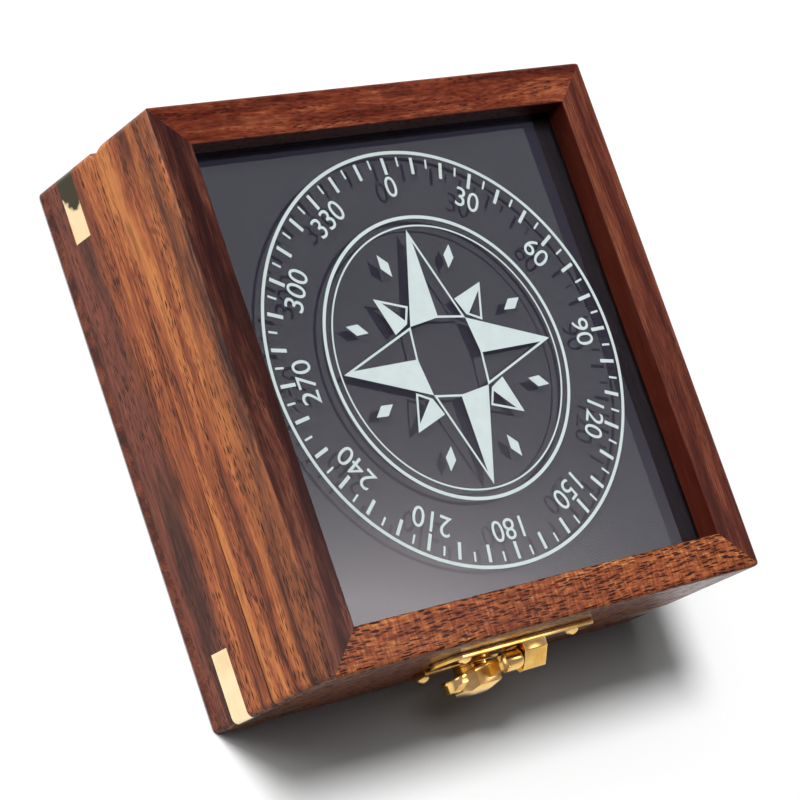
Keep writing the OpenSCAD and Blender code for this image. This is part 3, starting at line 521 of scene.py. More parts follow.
def clear_glass(name, tint):
    """Drawn float glass: a hard clean reflection, a faint green-grey body, and lamps pass through it."""
    made, tree = new_material(name)
    solid = add(
        tree,
        "ShaderNodeBsdfPrincipled",
        {"Base Color": linear(tint), "Roughness": 0.0, "IOR": 1.5, "Transmission Weight": 1.0},
    )
    open_air = add(tree, "ShaderNodeBsdfTransparent", {"Color": linear(tint)})
    ray = add(tree, "ShaderNodeLightPath").outputs["Is Shadow Ray"]
    mixed = add(tree, "ShaderNodeMixShader", {0: ray, 1: solid.outputs[0], 2: open_air.outputs[0]})
    add(tree, "ShaderNodeOutputMaterial", {"Surface": mixed.outputs[0]})
    return made


# The size of the pile's tufts and of its slow shading, and what ribs and shading add to the tufts
NAP_MM = 0.5
SHADE_MM = 28
RIB_WEIGHT = 0.12
SHADE_WEIGHT = 0.5
NAP_RELIEF = 0.08 * MM


def cloth(name, pile, ground, rib_mm, sheen):
    """Cotton velvet or baize: a matt dark pile that lightens at a slant, with faint woven ribs."""
    made, tree = new_material(name)
    at = add(tree, "ShaderNodeTexCoord").outputs["Object"]
    nap = add(
        tree, "ShaderNodeTexNoise", {"Vector": at, "Scale": 1 / (NAP_MM * MM), "Detail": 4}
    ).outputs["Fac"]
    shade = add(
        tree, "ShaderNodeTexNoise", {"Vector": at, "Scale": 1 / (SHADE_MM * MM), "Detail": 2}
    ).outputs["Fac"]
    across = add(tree, "ShaderNodeSeparateXYZ", {0: at}).outputs[1]
    rib = add(
        tree, "ShaderNodeMath", {0: across, 1: 2 * pi / (rib_mm * MM)}, operation="MULTIPLY"
    ).outputs[0]
    rib = add(tree, "ShaderNodeMath", {0: rib}, operation="SINE").outputs[0]
    level = add(
        tree, "ShaderNodeMath", {0: rib, 1: RIB_WEIGHT, 2: nap}, operation="MULTIPLY_ADD"
    ).outputs[0]
    level = add(
        tree, "ShaderNodeMath", {0: shade, 1: SHADE_WEIGHT, 2: level}, operation="MULTIPLY_ADD"
    ).outputs[0]
    colour = add(
        tree, "ShaderNodeValToRGB", {0: level}, stops=[(0.45, ground), (1.0, pile)]
    ).outputs[0]
    relief = add(
        tree, "ShaderNodeBump", {"Height": level, "Strength": 0.05, "Distance": NAP_RELIEF}
    ).outputs[0]
    shader = add(
        tree,
        "ShaderNodeBsdfPrincipled",
        {
            "Base Color": colour,
            "Roughness": 0.95,
            "Specular IOR Level": 0.0,
            "Normal": relief,
            "Sheen Weight": sheen,
            "Sheen Roughness": 0.4,
        },
    )
    add(tree, "ShaderNodeOutputMaterial", {"Surface": shader.outputs[0]})
    return made


# The finish of each node

ALONG_X = 0.0
ALONG_Y = -pi / 2

# Tones of the wood: the near-black streaks first, then dark, red and brown to the palest bands. Tones
# of a darker layer have no streaks of their own.
LEFT_TONES = ("#2f1b14", "#5c3224", "#914f35", "#b4673f", "#d0844d")
SMOKY_TONES = ("#33231f", "#5a362a", "#7f4d36", "#a8613b")
LOW_LEFT_TONES = ("#3e2622", "#5b372c", "#754236", "#935541")
TOP_LEFT_TONES = ("#2a120e", "#3b1c15", "#502a20", "#744534")
RIGHT_TONES = ("#30140d", "#41190f", "#56281b", "#6d3827", "#8a5139")
FRONT_TONES = ("#2f0e07", "#5b2610", "#864527", "#a55e36", "#cf8e56")
REAR_TONES = ("#280f0a", "#491709", "#672c18", "#7e3c26", "#a5603c")
BOARD_TONES = ("#2c1712", "#4a2218", "#623024", "#743b2a", "#864a36")

wood_lid_left = rosewood(
    "lacquered_rosewood_lid_left",
    turn=ALONG_Y,
    shift=(10, 4, 3),
    tones=LEFT_TONES,
    fibre_mm=(7, 0.5, 0.5),
    pore_mm=(2.6, 0.44, 0.44),
    pore_depth=0.95,
    pore_edge=(0.26, 0.42),
    band_share=0.8,
    heart=0.7,
    layers=((2, 33, 41, SMOKY_TONES), (0, -56.1, -55.3, TOP_LEFT_TONES)),
)
wood_base_left = rosewood(
    "lacquered_rosewood_base_left",
    turn=ALONG_Y,
    shift=(52, 20, 41),
    tones=LEFT_TONES,
    fibre_mm=(7, 0.5, 0.5),
    pore_mm=(2.6, 0.44, 0.44),
    pore_depth=0.9,
    pore_edge=(0.26, 0.42),
    band_share=0.6,
    heart=0.5,
    layers=((2, 15.8, 12.8, LOW_LEFT_TONES),),
)
wood_right = rosewood(
    "lacquered_rosewood_right",
    turn=ALONG_Y,
    shift=(70, 31, 12),
    tones=RIGHT_TONES,
    fibre_mm=(6, 0.32, 0.32),
    pore_mm=(2.2, 0.38, 0.38),
    pore_depth=0.6,
    band_share=0.55,
    heart=0.4,
)
wood_front = rosewood(
    "lacquered_rosewood_front",
    turn=ALONG_X,
    shift=(33, 62, 7),
    tones=FRONT_TONES,
    fibre_mm=(3.0, 0.4, 0.4),
    pore_mm=(2.9, 0.42, 0.8),
    pore_depth=1.0,
    pore_share=0.95,
    pore_edge=(0.3, 0.46),
    hatch=0.28,
    band_share=0.3,
    heart=0.1,
)
wood_rear = rosewood(
    "lacquered_rosewood_rear",
    turn=ALONG_X,
    shift=(5, 90, 22),
    tones=REAR_TONES,
    fibre_mm=(3, 0.45, 0.45),
    pore_mm=(2.2, 0.5, 0.5),
    pore_depth=0.8,
    pore_share=0.35,
    band_share=0.7,
    heart=0.5,
)
wood_board = rosewood(
    "oiled_rosewood_board",
    turn=ALONG_X,
    shift=(120, 17, 40),
    tones=BOARD_TONES,
    fibre_mm=(8, 0.5, 0.5),
    pore_mm=(2.0, 0.45, 0.45),
    pore_depth=0.7,
)
dark_wood = rosewood(
    "stained_hardwood_bead",
    turn=ALONG_X,
    shift=(44, 8, 60),
    tones=BOARD_TONES,
    fibre_mm=(8, 0.5, 0.5),
    pore_mm=(2.0, 0.4, 0.4),
    pore_depth=0.6,
)

# Cast brass, filed and buffed bright: a deep yellow mirror
catch_brass = brass("cast_catch_brass", "#f0c877", "#d6a450", roughness=0.14, scratch_mm=(0.5, 6, 0.5))
# Rolled brass strip, rubbed down flush with the wood: pale, with fine lines along it
strap_brass = brass("rolled_inlay_brass", "#f3dfb6", "#ecd3a4", roughness=0.13, scratch_mm=(0.4, 9, 0.4))
# A strap with a painted dark reflection at its rear left corner
reflecting_strap_brass = brass(
    "inlay_brass_painted_reflection",
    "#f3dfb6",
    "#ecd3a4",
    roughness=0.13,
    scratch_mm=(0.4, 9, 0.4),
    dark_reflection=((-57, 57.5, 12.0), 11.2),
)
# Rolled sheet and wire: a duller brass, as it comes from the mill
fitting_brass = brass("rolled_fitting_brass", "#e0b257", "#b78334", roughness=0.2, scratch_mm=(8, 0.4, 0.4))
# Turned and lacquered brass: a soft shine with fine lines from the lathe
instrument_brass = brass(
    "turned_instrument_brass", "#dcb05c", "#bd8a3d", roughness=0.22, scratch_mm=(3, 3, 0.2)
)
# Screws and pins turned from rod: small bright heads
screw_brass = brass("turned_screw_brass", "#ecc983", "#cfa257", roughness=0.2, scratch_mm=(0.6, 0.6, 4))

# Float glass: all but colourless, known by what it mirrors
pane_glass = clear_glass("float_glass_pane", "#f4f8f6")
compass_glass = clear_glass("float_glass_compass", "#f6faf8")

# Velvet takes in nearly all light, and baize shows its weave and a soft bloom
velvet = cloth("black_cotton_velvet", "#1a181c", "#110f13", rib_mm=0.55, sheen=0.012)
baize = cloth("navy_wool_baize", "#27335c", "#141c38", rib_mm=0.9, sheen=0.25)

# Screen ink: an even, slightly chalky grey-white
ink = plain_surface("white_screen_ink", "#cedbd9", "#c8d5d3", patch_mm=3, roughness=0.5)
# Card faced with matt enamel: a warm white without shine, marked in black and red dial ink
card_paper = plain_surface("matt_card_enamel", "#f2efe4", "#e8e4d6", patch_mm=6, roughness=0.6)
black_ink = plain_surface("black_dial_ink", "#1c1c1e", "#0e0e10", patch_mm=2, roughness=0.45)
red_ink = plain_surface("red_dial_ink", "#a5231c", "#8d1a15", patch_mm=2, roughness=0.45)
# Brushed lacquer: black with a low gloss
black_paint = plain_surface("black_lacquer_mark", "#1a1a1a", "#0c0c0c", patch_mm=2, roughness=0.35)
# Ground and hardened steel shines white, and heat-blued steel shines dark blue
steel = plain_surface(
    "hardened_needle_steel", "#c9ccd0", "#a9adb3", patch_mm=2, roughness=0.18, metallic=1.0
)
magnet = plain_surface("blued_magnet_steel", "#4a5a86", "#2c3554", patch_mm=4, roughness=0.28, metallic=1.0)
# Cast lead: dull blue-grey with a pitted skin
lead = plain_surface(
    "cast_lead", "#7d8088", "#5c5f66", patch_mm=3, roughness=0.5, metallic=1.0, relief_mm=0.08
)
# Moulded nitrile rubber: black and nearly without shine
rubber = plain_surface("black_nitrile_rubber", "#201f1f", "#151414", patch_mm=3, roughness=0.7)
# Ground and polished ruby: a deep pink-red with a hard shine
ruby = plain_surface("synthetic_ruby", "#b01640", "#7d0f2e", patch_mm=1, roughness=0.08, coat=0.6)

FINISHES = {
    wood_lid_left: ("lid_rail_left",),
    wood_base_left: ("base_wall_left",),
    wood_right: ("base_wall_right", "lid_rail_right"),
    wood_front: ("base_wall_front", "lid_rail_front"),
    wood_rear: ("base_wall_rear", "lid_rail_rear"),
    wood_board: ("bottom_board",),
    dark_wood: (
        "backing_board",
        "glass_bead_front",
        "glass_bead_rear",
        "glass_bead_left",
        "glass_bead_right",
    ),
    pane_glass: ("lid_glass",),
    compass_glass: ("bowl_glass",),
    fitting_brass: (
        "hinge_pin_left",
        "hinge_pin_right",
        "hinge_base_leaf_left",
        "hinge_base_leaf_right",
        "hinge_lid_leaf_left",
        "hinge_lid_leaf_right",
        "gimbal_bracket_left",
        "gimbal_bracket_right",
        "bead_brads",
        "bottom_pins",
    ),
    screw_brass: (
        "hinge_base_screws",
        "hinge_lid_screws",
        "catch_lid_screws",
        "catch_base_screws",
        "catch_rivet",
        "bracket_screws",
        "bezel_screws",
        "outer_trunnions",
        "inner_trunnions",
    ),
    instrument_brass: ("gimbal_ring", "compass_bowl", "bezel_ring", "pivot_post", "card_cap"),
    catch_brass: ("catch_lid_plate", "catch_base_plate", "catch_lever"),
    strap_brass: (
        "corner_strap_front_left",
        "corner_strap_front_right",
        "corner_strap_rear_right",
    ),
    reflecting_strap_brass: ("corner_strap_rear_left",),
    lead: ("balance_weight",),
    rubber: ("bowl_gasket",),
    black_paint: ("lubber_pointer",),
    steel: ("pivot_point",),
    magnet: ("magnet_bar",),
    card_paper: ("compass_card",),
    ruby: ("cap_jewel",),
}


def dress(node, finish):
    """Gives a CAD node its finish."""
    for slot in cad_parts[node].material_slots:
        slot.material = finish


for finish, nodes in FINISHES.items():
    for node in nodes:
        dress(node, finish)


# Tools for pieces


def piece(name, mesh, finish, body):
    """Puts a finished mesh in the scene as a piece that rides on a body."""
    mesh.materials.clear()
    mesh.materials.append(finish)
    made = bpy.data.objects.new(name, mesh)
    bpy.context.scene.collection.objects.link(made)
    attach(made, body)
    return made


def mesh_of(name, shape):
    """A mesh made from a bmesh, its faces turned outwards."""
    bmesh.ops.recalc_face_normals(shape, faces=shape.faces)
    made = bpy.data.meshes.new(name)
    shape.to_mesh(made)
    shape.free()
    return made


def evaluated(source, name):
    """The plain mesh of an object with its modifiers applied. The object goes."""
    graph = bpy.context.evaluated_depsgraph_get()
    made = bpy.data.meshes.new_from_object(source.evaluated_get(graph))
    made.name = name
    bpy.data.objects.remove(source)
    return made


# An edge that turns by more than ARRIS_FROM is rounded, and one still over SHARP_FROM looks crisp
ARRIS_STEPS = 3
ARRIS_FROM = radians(25)
SHARP_FROM = radians(28)
FLAT_WITHIN = radians(0.6)
WELD = 0.002 * MM


def bevelled(node, width, finish, body):
    """A copy of a CAD node with its arrises rounded, standing for that node."""
    shape = bmesh.new()
    shape.from_mesh(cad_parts[node].data)
    bmesh.ops.remove_doubles(shape, verts=shape.verts, dist=WELD)
    bmesh.ops.dissolve_limit(shape, angle_limit=FLAT_WITHIN, verts=shape.verts, edges=shape.edges)
    source = bpy.data.objects.new(node + "_soft", mesh_of(node, shape))
    bpy.context.scene.collection.objects.link(source)
    edge = source.modifiers.new("arris", "BEVEL")
    edge.width = width
    edge.segments = ARRIS_STEPS
    edge.limit_method = "ANGLE"
    edge.angle_limit = ARRIS_FROM
    made = piece(node + "_rounded", evaluated(source, node), finish, body)
    made.data.shade_smooth()
    made.data.set_sharp_from_angle(angle=SHARP_FROM)
    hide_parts(node)


# Flat print: rings of copies, frames, circles and text

# Height of a capital in a font of size 1, and thickness of the ink
CAP_HEIGHT = 0.73
INK = 0.04 * MM
CIRCLE_STEPS = 180


def ring_tree():
    """Geometry nodes that set a motif round a circle, each copy turned to face outwards."""
    tree = bpy.data.node_groups.new("copies_round_a_circle", "GeometryNodeTree")
    tree.is_modifier = True
    ports = tree.interface
    ports.new_socket("Motif", in_out="INPUT", socket_type="NodeSocketGeometry")
    ports.new_socket("Count", in_out="INPUT", socket_type="NodeSocketInt")
    for name in ("Radius", "Start"):
        ports.new_socket(name, in_out="INPUT", socket_type="NodeSocketFloat")
    ports.new_socket("Finish", in_out="INPUT", socket_type="NodeSocketMaterial")
    ports.new_socket("Ring", in_out="OUTPUT", socket_type="NodeSocketGeometry")
    given = add(tree, "NodeGroupInput").outputs
    points = add(tree, "GeometryNodePoints", {"Count": given["Count"]}).outputs[0]
    index = add(tree, "GeometryNodeInputIndex").outputs[0]
    step = add(tree, "ShaderNodeMath", {0: 2 * pi, 1: given["Count"]}, operation="DIVIDE").outputs[0]
    angle = add(
        tree, "ShaderNodeMath", {0: index, 1: step, 2: given["Start"]}, operation="MULTIPLY_ADD"
    ).outputs[0]
    turn = add(tree, "ShaderNodeCombineXYZ", {2: angle}).outputs[0]
    out = add(tree, "ShaderNodeCombineXYZ", {0: given["Radius"]}).outputs[0]
    place = add(
        tree, "ShaderNodeVectorRotate", {"Vector": out, "Rotation": turn}, rotation_type="EULER_XYZ"
    ).outputs[0]
    placed = add(tree, "GeometryNodeSetPosition", {"Geometry": points, "Position": place}).outputs[0]
    copies = add(
        tree,
        "GeometryNodeInstanceOnPoints",
        {"Points": placed, "Instance": given["Motif"], "Rotation": turn},
    ).outputs[0]
    solid = add(tree, "GeometryNodeRealizeInstances", {0: copies}).outputs[0]
    finished = add(tree, "GeometryNodeSetMaterial", {"Geometry": solid, "Material": given["Finish"]})
    add(tree, "NodeGroupOutput", {0: finished.outputs[0]})
    return tree


RING = ring_tree()


def ring_of(name, motif, count, radius, start, finish):
    """The mesh of a motif repeated round a circle."""
    source = bpy.data.objects.new(name, motif)
    bpy.context.scene.collection.objects.link(source)
    copies = source.modifiers.new("copies", "NODES")
    copies.node_group = RING
    sockets = {item.name: item.identifier for item in RING.interface.items_tree}
    copies[sockets["Count"]] = count
    copies[sockets["Radius"]] = radius
    copies[sockets["Start"]] = start
    copies[sockets["Finish"]] = finish
    return evaluated(source, name)


def slab(name, outline, low, high):
    """A thin plate with a flat outline, from low to high."""
    shape = bmesh.new()
    rims = [[shape.verts.new((x, y, z)) for x, y in outline] for z in (low, high)]
    shape.faces.new(rims[0][::-1])
    shape.faces.new(rims[1])
    count = len(outline)
    for i in range(count):
        j = (i + 1) % count
        shape.faces.new((rims[0][i], rims[0][j], rims[1][j], rims[1][i]))
    return mesh_of(name, shape)


def hollow(name, inner, outer, low, high):
    """A thin flat frame between two outlines with as many corners each."""
    shape = bmesh.new()
    rims = [
        [shape.verts.new((x, y, z)) for x, y in outline]
        for outline, z in ((inner, low), (outer, low), (outer, high), (inner, high))
    ]
    count = len(inner)
    for i in range(count):
        j = (i + 1) % count
        for k in range(4):
            near, far = rims[k], rims[(k + 1) % 4]
            shape.faces.new((near[i], far[i], far[j], near[j]))
    return mesh_of(name, shape)


def band(name, inner, outer, low, high):
    """A thin flat ring."""
    turns = [2 * pi * i / CIRCLE_STEPS for i in range(CIRCLE_STEPS)]
    circles = [[(r * cos(turn), r * sin(turn)) for turn in turns] for r in (inner, outer)]
    return hollow(name, *circles, low, high)


def joined(name, meshes):
    """One mesh from several."""
    shape = bmesh.new()
    for mesh in meshes:
        shape.from_mesh(mesh)
        bpy.data.meshes.remove(mesh)
    return mesh_of(name, shape)


def words(name, text, height, radius, bearing, low):
    """Thin raised text, centred at a bearing in degrees clockwise from north, its foot to the middle."""
    curve = bpy.data.curves.new(name, "FONT")
    curve.body = text
    curve.size = height / CAP_HEIGHT
    curve.align_x = "CENTER"
    curve.align_y = "CENTER"
    curve.extrude = INK / 2
    curve.resolution_u = 6
    source = bpy.data.objects.new(name, curve)
    bpy.context.scene.collection.objects.link(source)
    made = evaluated(source, name)
    turn = radians(-bearing)
    made.transform(
        Matrix.Translation((-radius * sin(turn), radius * cos(turn), low + INK / 2))
        @ Matrix.Rotation(turn, 4, "Z")
    )
    return made


# A compass rose, in shares of its outer radius
LINE = 0.016
TICK_FROM = 0.968
TICK_LONG = 0.081
TICK_SHORT = 0.045
TICK_WIDE = 0.017
TICK_THIN = 0.010
NUMBER_RADIUS = 0.822
NUMBER_HEIGHT = 0.104
ROSE_RADIUS = 0.682
ROSE_INNER = 0.636
POINT_LONG = 0.615
POINT_SHORT = 0.450
HUB = 0.185
NOTCH = 0.232
GEM_NEAR = 0.44
GEM_FAR = 0.56
GEM_HALF = 0.028
HEEL = NOTCH + 0.02
FLANK = (NOTCH + 0.05, 0.085)
OUTLINE = 0.0105
PRINT_RADIUS = 44.3 * MM
DIAL_RADIUS = CARD_RADIUS - 0.6 * MM


def bar(length, width):
    """The outline of a graduation that starts at the origin and runs inwards."""
    return [(-length, -width / 2), (0, -width / 2), (0, width / 2), (-length, width / 2)]


def inset(corners, width):
    """The outline of a triangle drawn this much inside another."""
    sides = [dist(corners[i - 1], corners[i - 2]) for i in range(3)]
    around = sum(sides)
    middle = [
        sum(side * corner[axis] for side, corner in zip(sides, corners)) / around for axis in (0, 1)
    ]
    (ax, ay), (bx, by), (cx, cy) = corners
    area = abs((bx - ax) * (cy - ay) - (by - ay) * (cx - ax)) / 2
    share = 1 - width * around / (2 * area)
    return [tuple(m + (c - m) * share for m, c in zip(middle, corner)) for corner in corners]


def compass_rose(prefix, body, finish, low, radius, north=None, letters=False):
    """Prints a degree ring round a star. North can have an ink of its own."""
    high = low + INK
    r = radius

    def ring(name, outline, count, start, place=0.0):
        shape = slab(name, [(x * r, y * r) for x, y in outline], low, high)
        return ring_of(name, shape, count, place * r, radians(start), finish)

    def frame_of(name, corners, count, start):
        outer = [(x * r, y * r) for x, y in corners]
        inner = inset(outer, OUTLINE * r)
        return ring_of(name, hollow(name, inner, outer, low, high), count, 0.0, radians(start), finish)

    rings = [
        band("outer", (1 - LINE) * r, r, low, high),
        band("rose", (ROSE_RADIUS - LINE) * r, ROSE_RADIUS * r, low, high),
        band("rose_inner", (ROSE_INNER - LINE / 2) * r, ROSE_INNER * r, low, high),
        ring("long", bar(TICK_LONG, TICK_WIDE), 36, 0, TICK_FROM),
        ring("short", bar(TICK_SHORT, TICK_THIN), 36, 5, TICK_FROM),
    ]
    piece(prefix + "_degree_ring", joined(prefix + "_degree_ring", rings), finish, body)

    marks = {bearing: str(bearing) for bearing in range(0, 360, 30)}
    if letters:
        marks.update({0: "N", 90: "E", 180: "S", 270: "W"})
    numbers = [
        words("mark", text, NUMBER_HEIGHT * r, NUMBER_RADIUS * r, bearing, low)
        for bearing, text in marks.items()
    ]
    piece(prefix + "_degree_marks", joined(prefix + "_degree_marks", numbers), finish, body)

    root = NOTCH / 2 ** 0.5
    waist = (GEM_NEAR + GEM_FAR) / 2
    gem = [(GEM_NEAR, 0), (waist, -GEM_HALF), (GEM_FAR, 0), (waist, GEM_HALF)]
    star = [
        frame_of("open", [(HUB, 0), (root, -root), (POINT_LONG, 0)], 4, 0),
        ring("filled_short", [(HEEL, 0), (POINT_SHORT, 0), FLANK], 4, 45),
        frame_of("open_short", [(HEEL, 0), (FLANK[0], -FLANK[1]), (POINT_SHORT, 0)], 4, 45),
        ring("gems", gem, 8, 22.5),
    ]
    # A motif is drawn along x, so a quarter turn takes it north
    filled = [(HUB, 0), (POINT_LONG, 0), (root, root)]
    for start in (0, 180, 270) if north else (0, 90, 180, 270):
        star.append(ring("filled", filled, 1, start))
    piece(prefix + "_star", joined(prefix + "_star", star), finish, body)
    if north:
        piece(prefix + "_north", ring("north", filled, 1, 90), north, body)


compass_rose("print", "lid", ink, GLASS_TOP, PRINT_RADIUS)
compass_rose("dial", "card", black_ink, CARD_TOP, DIAL_RADIUS, north=red_ink, letters=True)


# Cloths

CLOTH_CELLS = 60
CLOTH_WAVE = 0.12 * MM
CLOTH_EDGE = 0.12 * MM
CLOTH_TOP_GAP = 0.03 * MM
CLOTH_FOOT_GAP = 0.02 * MM


def cloth_mesh(name, node):
    """A laid sheet that fills a node's box, with a faintly uneven face and soft edges."""
    cells = CLOTH_CELLS
    low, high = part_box(node)
    shape = bmesh.new()
    face = {}
    for top in (0, 1):
        for i in range(cells + 1):
            for j in range(cells + 1):
                u, v = i / cells, j / cells
                edge = min(i, j, cells - i, cells - j) == 0
                ripple = sin(9 * u + 4 * v) * sin(7 * v - 3 * u)
                uneven = CLOTH_WAVE * (ripple - 1) / 2
                z = high.z - CLOTH_TOP_GAP + uneven if top else low.z + CLOTH_FOOT_GAP
                if edge:
                    z += -CLOTH_EDGE if top else CLOTH_EDGE
                x = low.x + (high.x - low.x) * u
                y = low.y + (high.y - low.y) * v
                face[top, i, j] = shape.verts.new((x, y, z))
    for i in range(cells):
        for j in range(cells):
            for top in (0, 1):
                ring = [face[top, i, j], face[top, i + 1, j], face[top, i + 1, j + 1], face[top, i, j + 1]]
                shape.faces.new(ring if top else ring[::-1])
    rim = [(i, 0) for i in range(cells)] + [(cells, j) for j in range(cells)]
    rim += [(cells - i, cells) for i in range(cells)] + [(0, cells - j) for j in range(cells)]
    for n, (i, j) in enumerate(rim):
        k, m = rim[(n + 1) % len(rim)]
        shape.faces.new((face[0, i, j], face[0, k, m], face[1, k, m], face[1, i, j]))
    made = mesh_of(name, shape)
    made.shade_smooth()
    return made, (high.x - low.x, high.y - low.y)


for name, node, body, finish, slot, rests in (
    ("velvet_cloth", "velvet_sheet", "lid", velvet, "black_velvet", "backing_board"),
    ("baize_lining", "floor_lining", "case", baize, "lining_felt", "bottom_board"),
):
    mesh, cut = cloth_mesh(name, node)
    sheet = piece(name, mesh, finish, body)
    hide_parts(node)


# Brass with its arrises eased

for node, width, finish, body, slot in (
    ("catch_lid_plate", 0.22, catch_brass, "lid", "catch_brass"),
    ("catch_base_plate", 0.22, catch_brass, "case", "catch_brass"),
    ("catch_lever", 0.18, catch_brass, "catch_lever", "catch_brass"),
):
    bevelled(node, width * MM, finish, body)


# Light, floor and camera

WHITE = (1, 1, 1, 1)
FLOOR_HALF = 3.0
FLOOR_DROP = 0.05 * MM
FLOOR_BOUNCE = "#7c7c7c"
KEY_TOWARD = (-0.3, 0.42, 1.0)
AMBIENT = 0.025
# The ceiling that metal and glass mirror, and how high it begins and is full
CEILING_FROM = 0.3
CEILING_FULL = 0.62
CEILING = (0.37, 0.36, 0.58)
# The soft box: where it hangs, how fast it falls off, its tint, its strength and the cap on that
SOFT_BOX_PLACE = (0.58, 0.03, 0.0)
SOFT_BOX_NARROWING = (14.2, 13.8, 0.0)
SOFT_BOX_TINT = (1.0, 0.91, 0.92)
SOFT_BOX_PEAK = 18.5
SOFT_BOX_CAP = 5.0


def aim(direction, up):
    """Rotation that looks along a direction, as a camera or lamp does."""
    forward = Vector(direction).normalized()
    right = forward.cross(Vector(up)).normalized()
    return Matrix((right, right.cross(forward), -forward)).transposed().to_4x4()


def add_camera():
    """The camera of the photograph."""
    data = bpy.data.cameras.new("photo_camera")
    data.sensor_width = SENSOR_WIDTH
    data.lens = CAMERA_LENS
    made = bpy.data.objects.new("photo_camera", data)
    bpy.context.scene.collection.objects.link(made)
    made.matrix_world = Matrix.Translation(CAMERA_PLACE) @ aim(CAMERA_FORWARD, CAMERA_UP)
    bpy.context.scene.camera = made


def add_lamp(name, toward, width_degrees, level):
    """A far soft lamp. toward points from the case to it. level is how bright white that faces it is."""
    data = bpy.data.lights.new(name, "SUN")
    data.angle = radians(width_degrees)
    data.energy = level * pi
    made = bpy.data.objects.new(name, data)
    bpy.context.scene.collection.objects.link(made)
    made.matrix_world = Matrix.Translation(Vector(toward)) @ aim(-Vector(toward), (0, 0, 1))


def undiffused(tree, rays):
    """1 where a ray has met no matt surface since the camera, 0 after that."""
    return add(
        tree, "ShaderNodeMath", {0: rays["Diffuse Depth"], 1: 0.5}, operation="LESS_THAN"
    ).outputs[0]


def soft_box(tree, where):
    """The light of one bright soft box that hangs where the near left corner of the pane mirrors it."""
    apart = add(
        tree, "ShaderNodeVectorMath", {0: where, 1: SOFT_BOX_PLACE}, operation="SUBTRACT"
    ).outputs[0]
    apart = add(
        tree, "ShaderNodeVectorMath", {0: apart, 1: SOFT_BOX_NARROWING}, operation="MULTIPLY"
    ).outputs[0]
    spread = add(
        tree, "ShaderNodeVectorMath", {0: apart, 1: apart}, operation="DOT_PRODUCT"
    ).outputs["Value"]
    fall = add(tree, "ShaderNodeMath", {0: spread, 1: -1.0}, operation="MULTIPLY").outputs[0]
    glow = add(tree, "ShaderNodeMath", {0: fall}, operation="EXPONENT").outputs[0]
    glow = add(tree, "ShaderNodeMath", {0: glow, 1: SOFT_BOX_PEAK}, operation="MULTIPLY").outputs[0]
    glow = add(tree, "ShaderNodeMath", {0: glow, 1: SOFT_BOX_CAP}, operation="MINIMUM").outputs[0]
    return add(
        tree, "ShaderNodeVectorMath", {0: SOFT_BOX_TINT, "Scale": glow}, operation="SCALE"
    ).outputs[0]


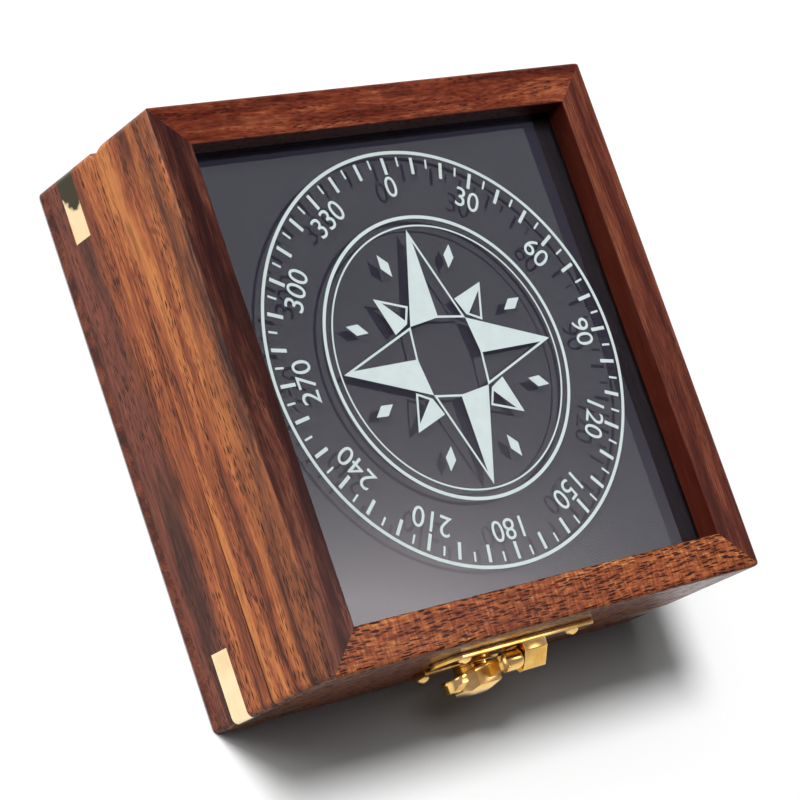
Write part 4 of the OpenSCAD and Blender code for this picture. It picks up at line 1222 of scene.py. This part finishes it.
def add_world():
    """White for the camera. In reflections, a white horizon, a dim cool ceiling and the soft box. Light
    that a matt surface has thrown on meets only the dim ambient."""
    world = bpy.data.worlds.new("studio")
    world.use_nodes = True
    tree = world.node_tree
    tree.nodes.clear()
    rays = add(tree, "ShaderNodeLightPath").outputs
    where = add(tree, "ShaderNodeTexCoord").outputs["Generated"]
    lamp = soft_box(tree, where)
    above = add(tree, "ShaderNodeVectorMath", {0: lamp, 1: CEILING}, operation="ADD").outputs[0]
    height = add(tree, "ShaderNodeSeparateXYZ", {0: where}).outputs[2]
    ceiling = add(
        tree, "ShaderNodeMapRange", {"Value": height, "From Min": CEILING_FROM, "From Max": CEILING_FULL}
    ).outputs[0]
    mirrored = add(
        tree, "ShaderNodeMix", {0: ceiling, 6: WHITE, 7: above}, data_type="RGBA"
    ).outputs[2]
    ambient = add(tree, "ShaderNodeBackground", {"Color": WHITE, "Strength": AMBIENT})
    mirrored = add(tree, "ShaderNodeBackground", {"Color": mirrored, "Strength": 1.0})
    white = add(tree, "ShaderNodeBackground", {"Color": WHITE, "Strength": 1.0})
    seen = add(
        tree,
        "ShaderNodeMath",
        {0: rays["Is Camera Ray"], 1: rays["Is Transmission Ray"]},
        operation="MAXIMUM",
    ).outputs[0]
    direct = undiffused(tree, rays)
    mirror = add(
        tree, "ShaderNodeMath", {0: rays["Is Glossy Ray"], 1: direct}, operation="MULTIPLY"
    ).outputs[0]
    mixed = add(
        tree, "ShaderNodeMixShader", {0: mirror, 1: ambient.outputs[0], 2: mirrored.outputs[0]}
    )
    seen = add(tree, "ShaderNodeMath", {0: seen, 1: direct}, operation="MULTIPLY").outputs[0]
    mixed = add(tree, "ShaderNodeMixShader", {0: seen, 1: mixed.outputs[0], 2: white.outputs[0]})
    add(tree, "ShaderNodeOutputWorld", {"Surface": mixed.outputs[0]})
    bpy.context.scene.world = world


def add_floor():
    """A white floor that keeps the case's soft shadow and throws only a little light back up."""
    made, tree = new_material("matt_white_floor")
    rays = add(tree, "ShaderNodeLightPath").outputs
    shown = add(
        tree, "ShaderNodeMath", {0: rays["Is Camera Ray"], 1: rays["Is Glossy Ray"]}, operation="MAXIMUM"
    ).outputs[0]
    shown = add(
        tree, "ShaderNodeMath", {0: shown, 1: rays["Is Transmission Ray"]}, operation="MAXIMUM"
    ).outputs[0]
    shown = add(
        tree, "ShaderNodeMath", {0: shown, 1: undiffused(tree, rays)}, operation="MULTIPLY"
    ).outputs[0]
    colour = add(
        tree,
        "ShaderNodeMix",
        {0: shown, 6: linear(FLOOR_BOUNCE), 7: WHITE},
        data_type="RGBA",
    ).outputs[2]
    shader = add(
        tree,
        "ShaderNodeBsdfPrincipled",
        {"Base Color": colour, "Roughness": 0.9, "Specular IOR Level": 0.0},
    )
    add(tree, "ShaderNodeOutputMaterial", {"Surface": shader.outputs[0]})
    shape = bmesh.new()
    corners = [
        shape.verts.new((x * FLOOR_HALF, y * FLOOR_HALF, -FLOOR_DROP))
        for x, y in ((-1, -1), (1, -1), (1, 1), (-1, 1))
    ]
    shape.faces.new(corners)
    mesh = bpy.data.meshes.new("floor")
    shape.to_mesh(mesh)
    shape.free()
    mesh.materials.append(made)
    floor = bpy.data.objects.new("floor", mesh)
    bpy.context.scene.collection.objects.link(floor)


add_camera()
add_lamp("key_above", toward=KEY_TOWARD, width_degrees=15, level=0.84)
add_lamp("key_halo", toward=KEY_TOWARD, width_degrees=45, level=0.26)
add_lamp("fill_left", toward=(-1.0, 0.6, 0.12), width_degrees=25, level=0.74)
add_lamp("edge_right", toward=(1.0, -0.2, 0.02), width_degrees=20, level=0.2)
add_world()
add_floor()
bpy.context.scene.view_settings.view_transform = "Standard"
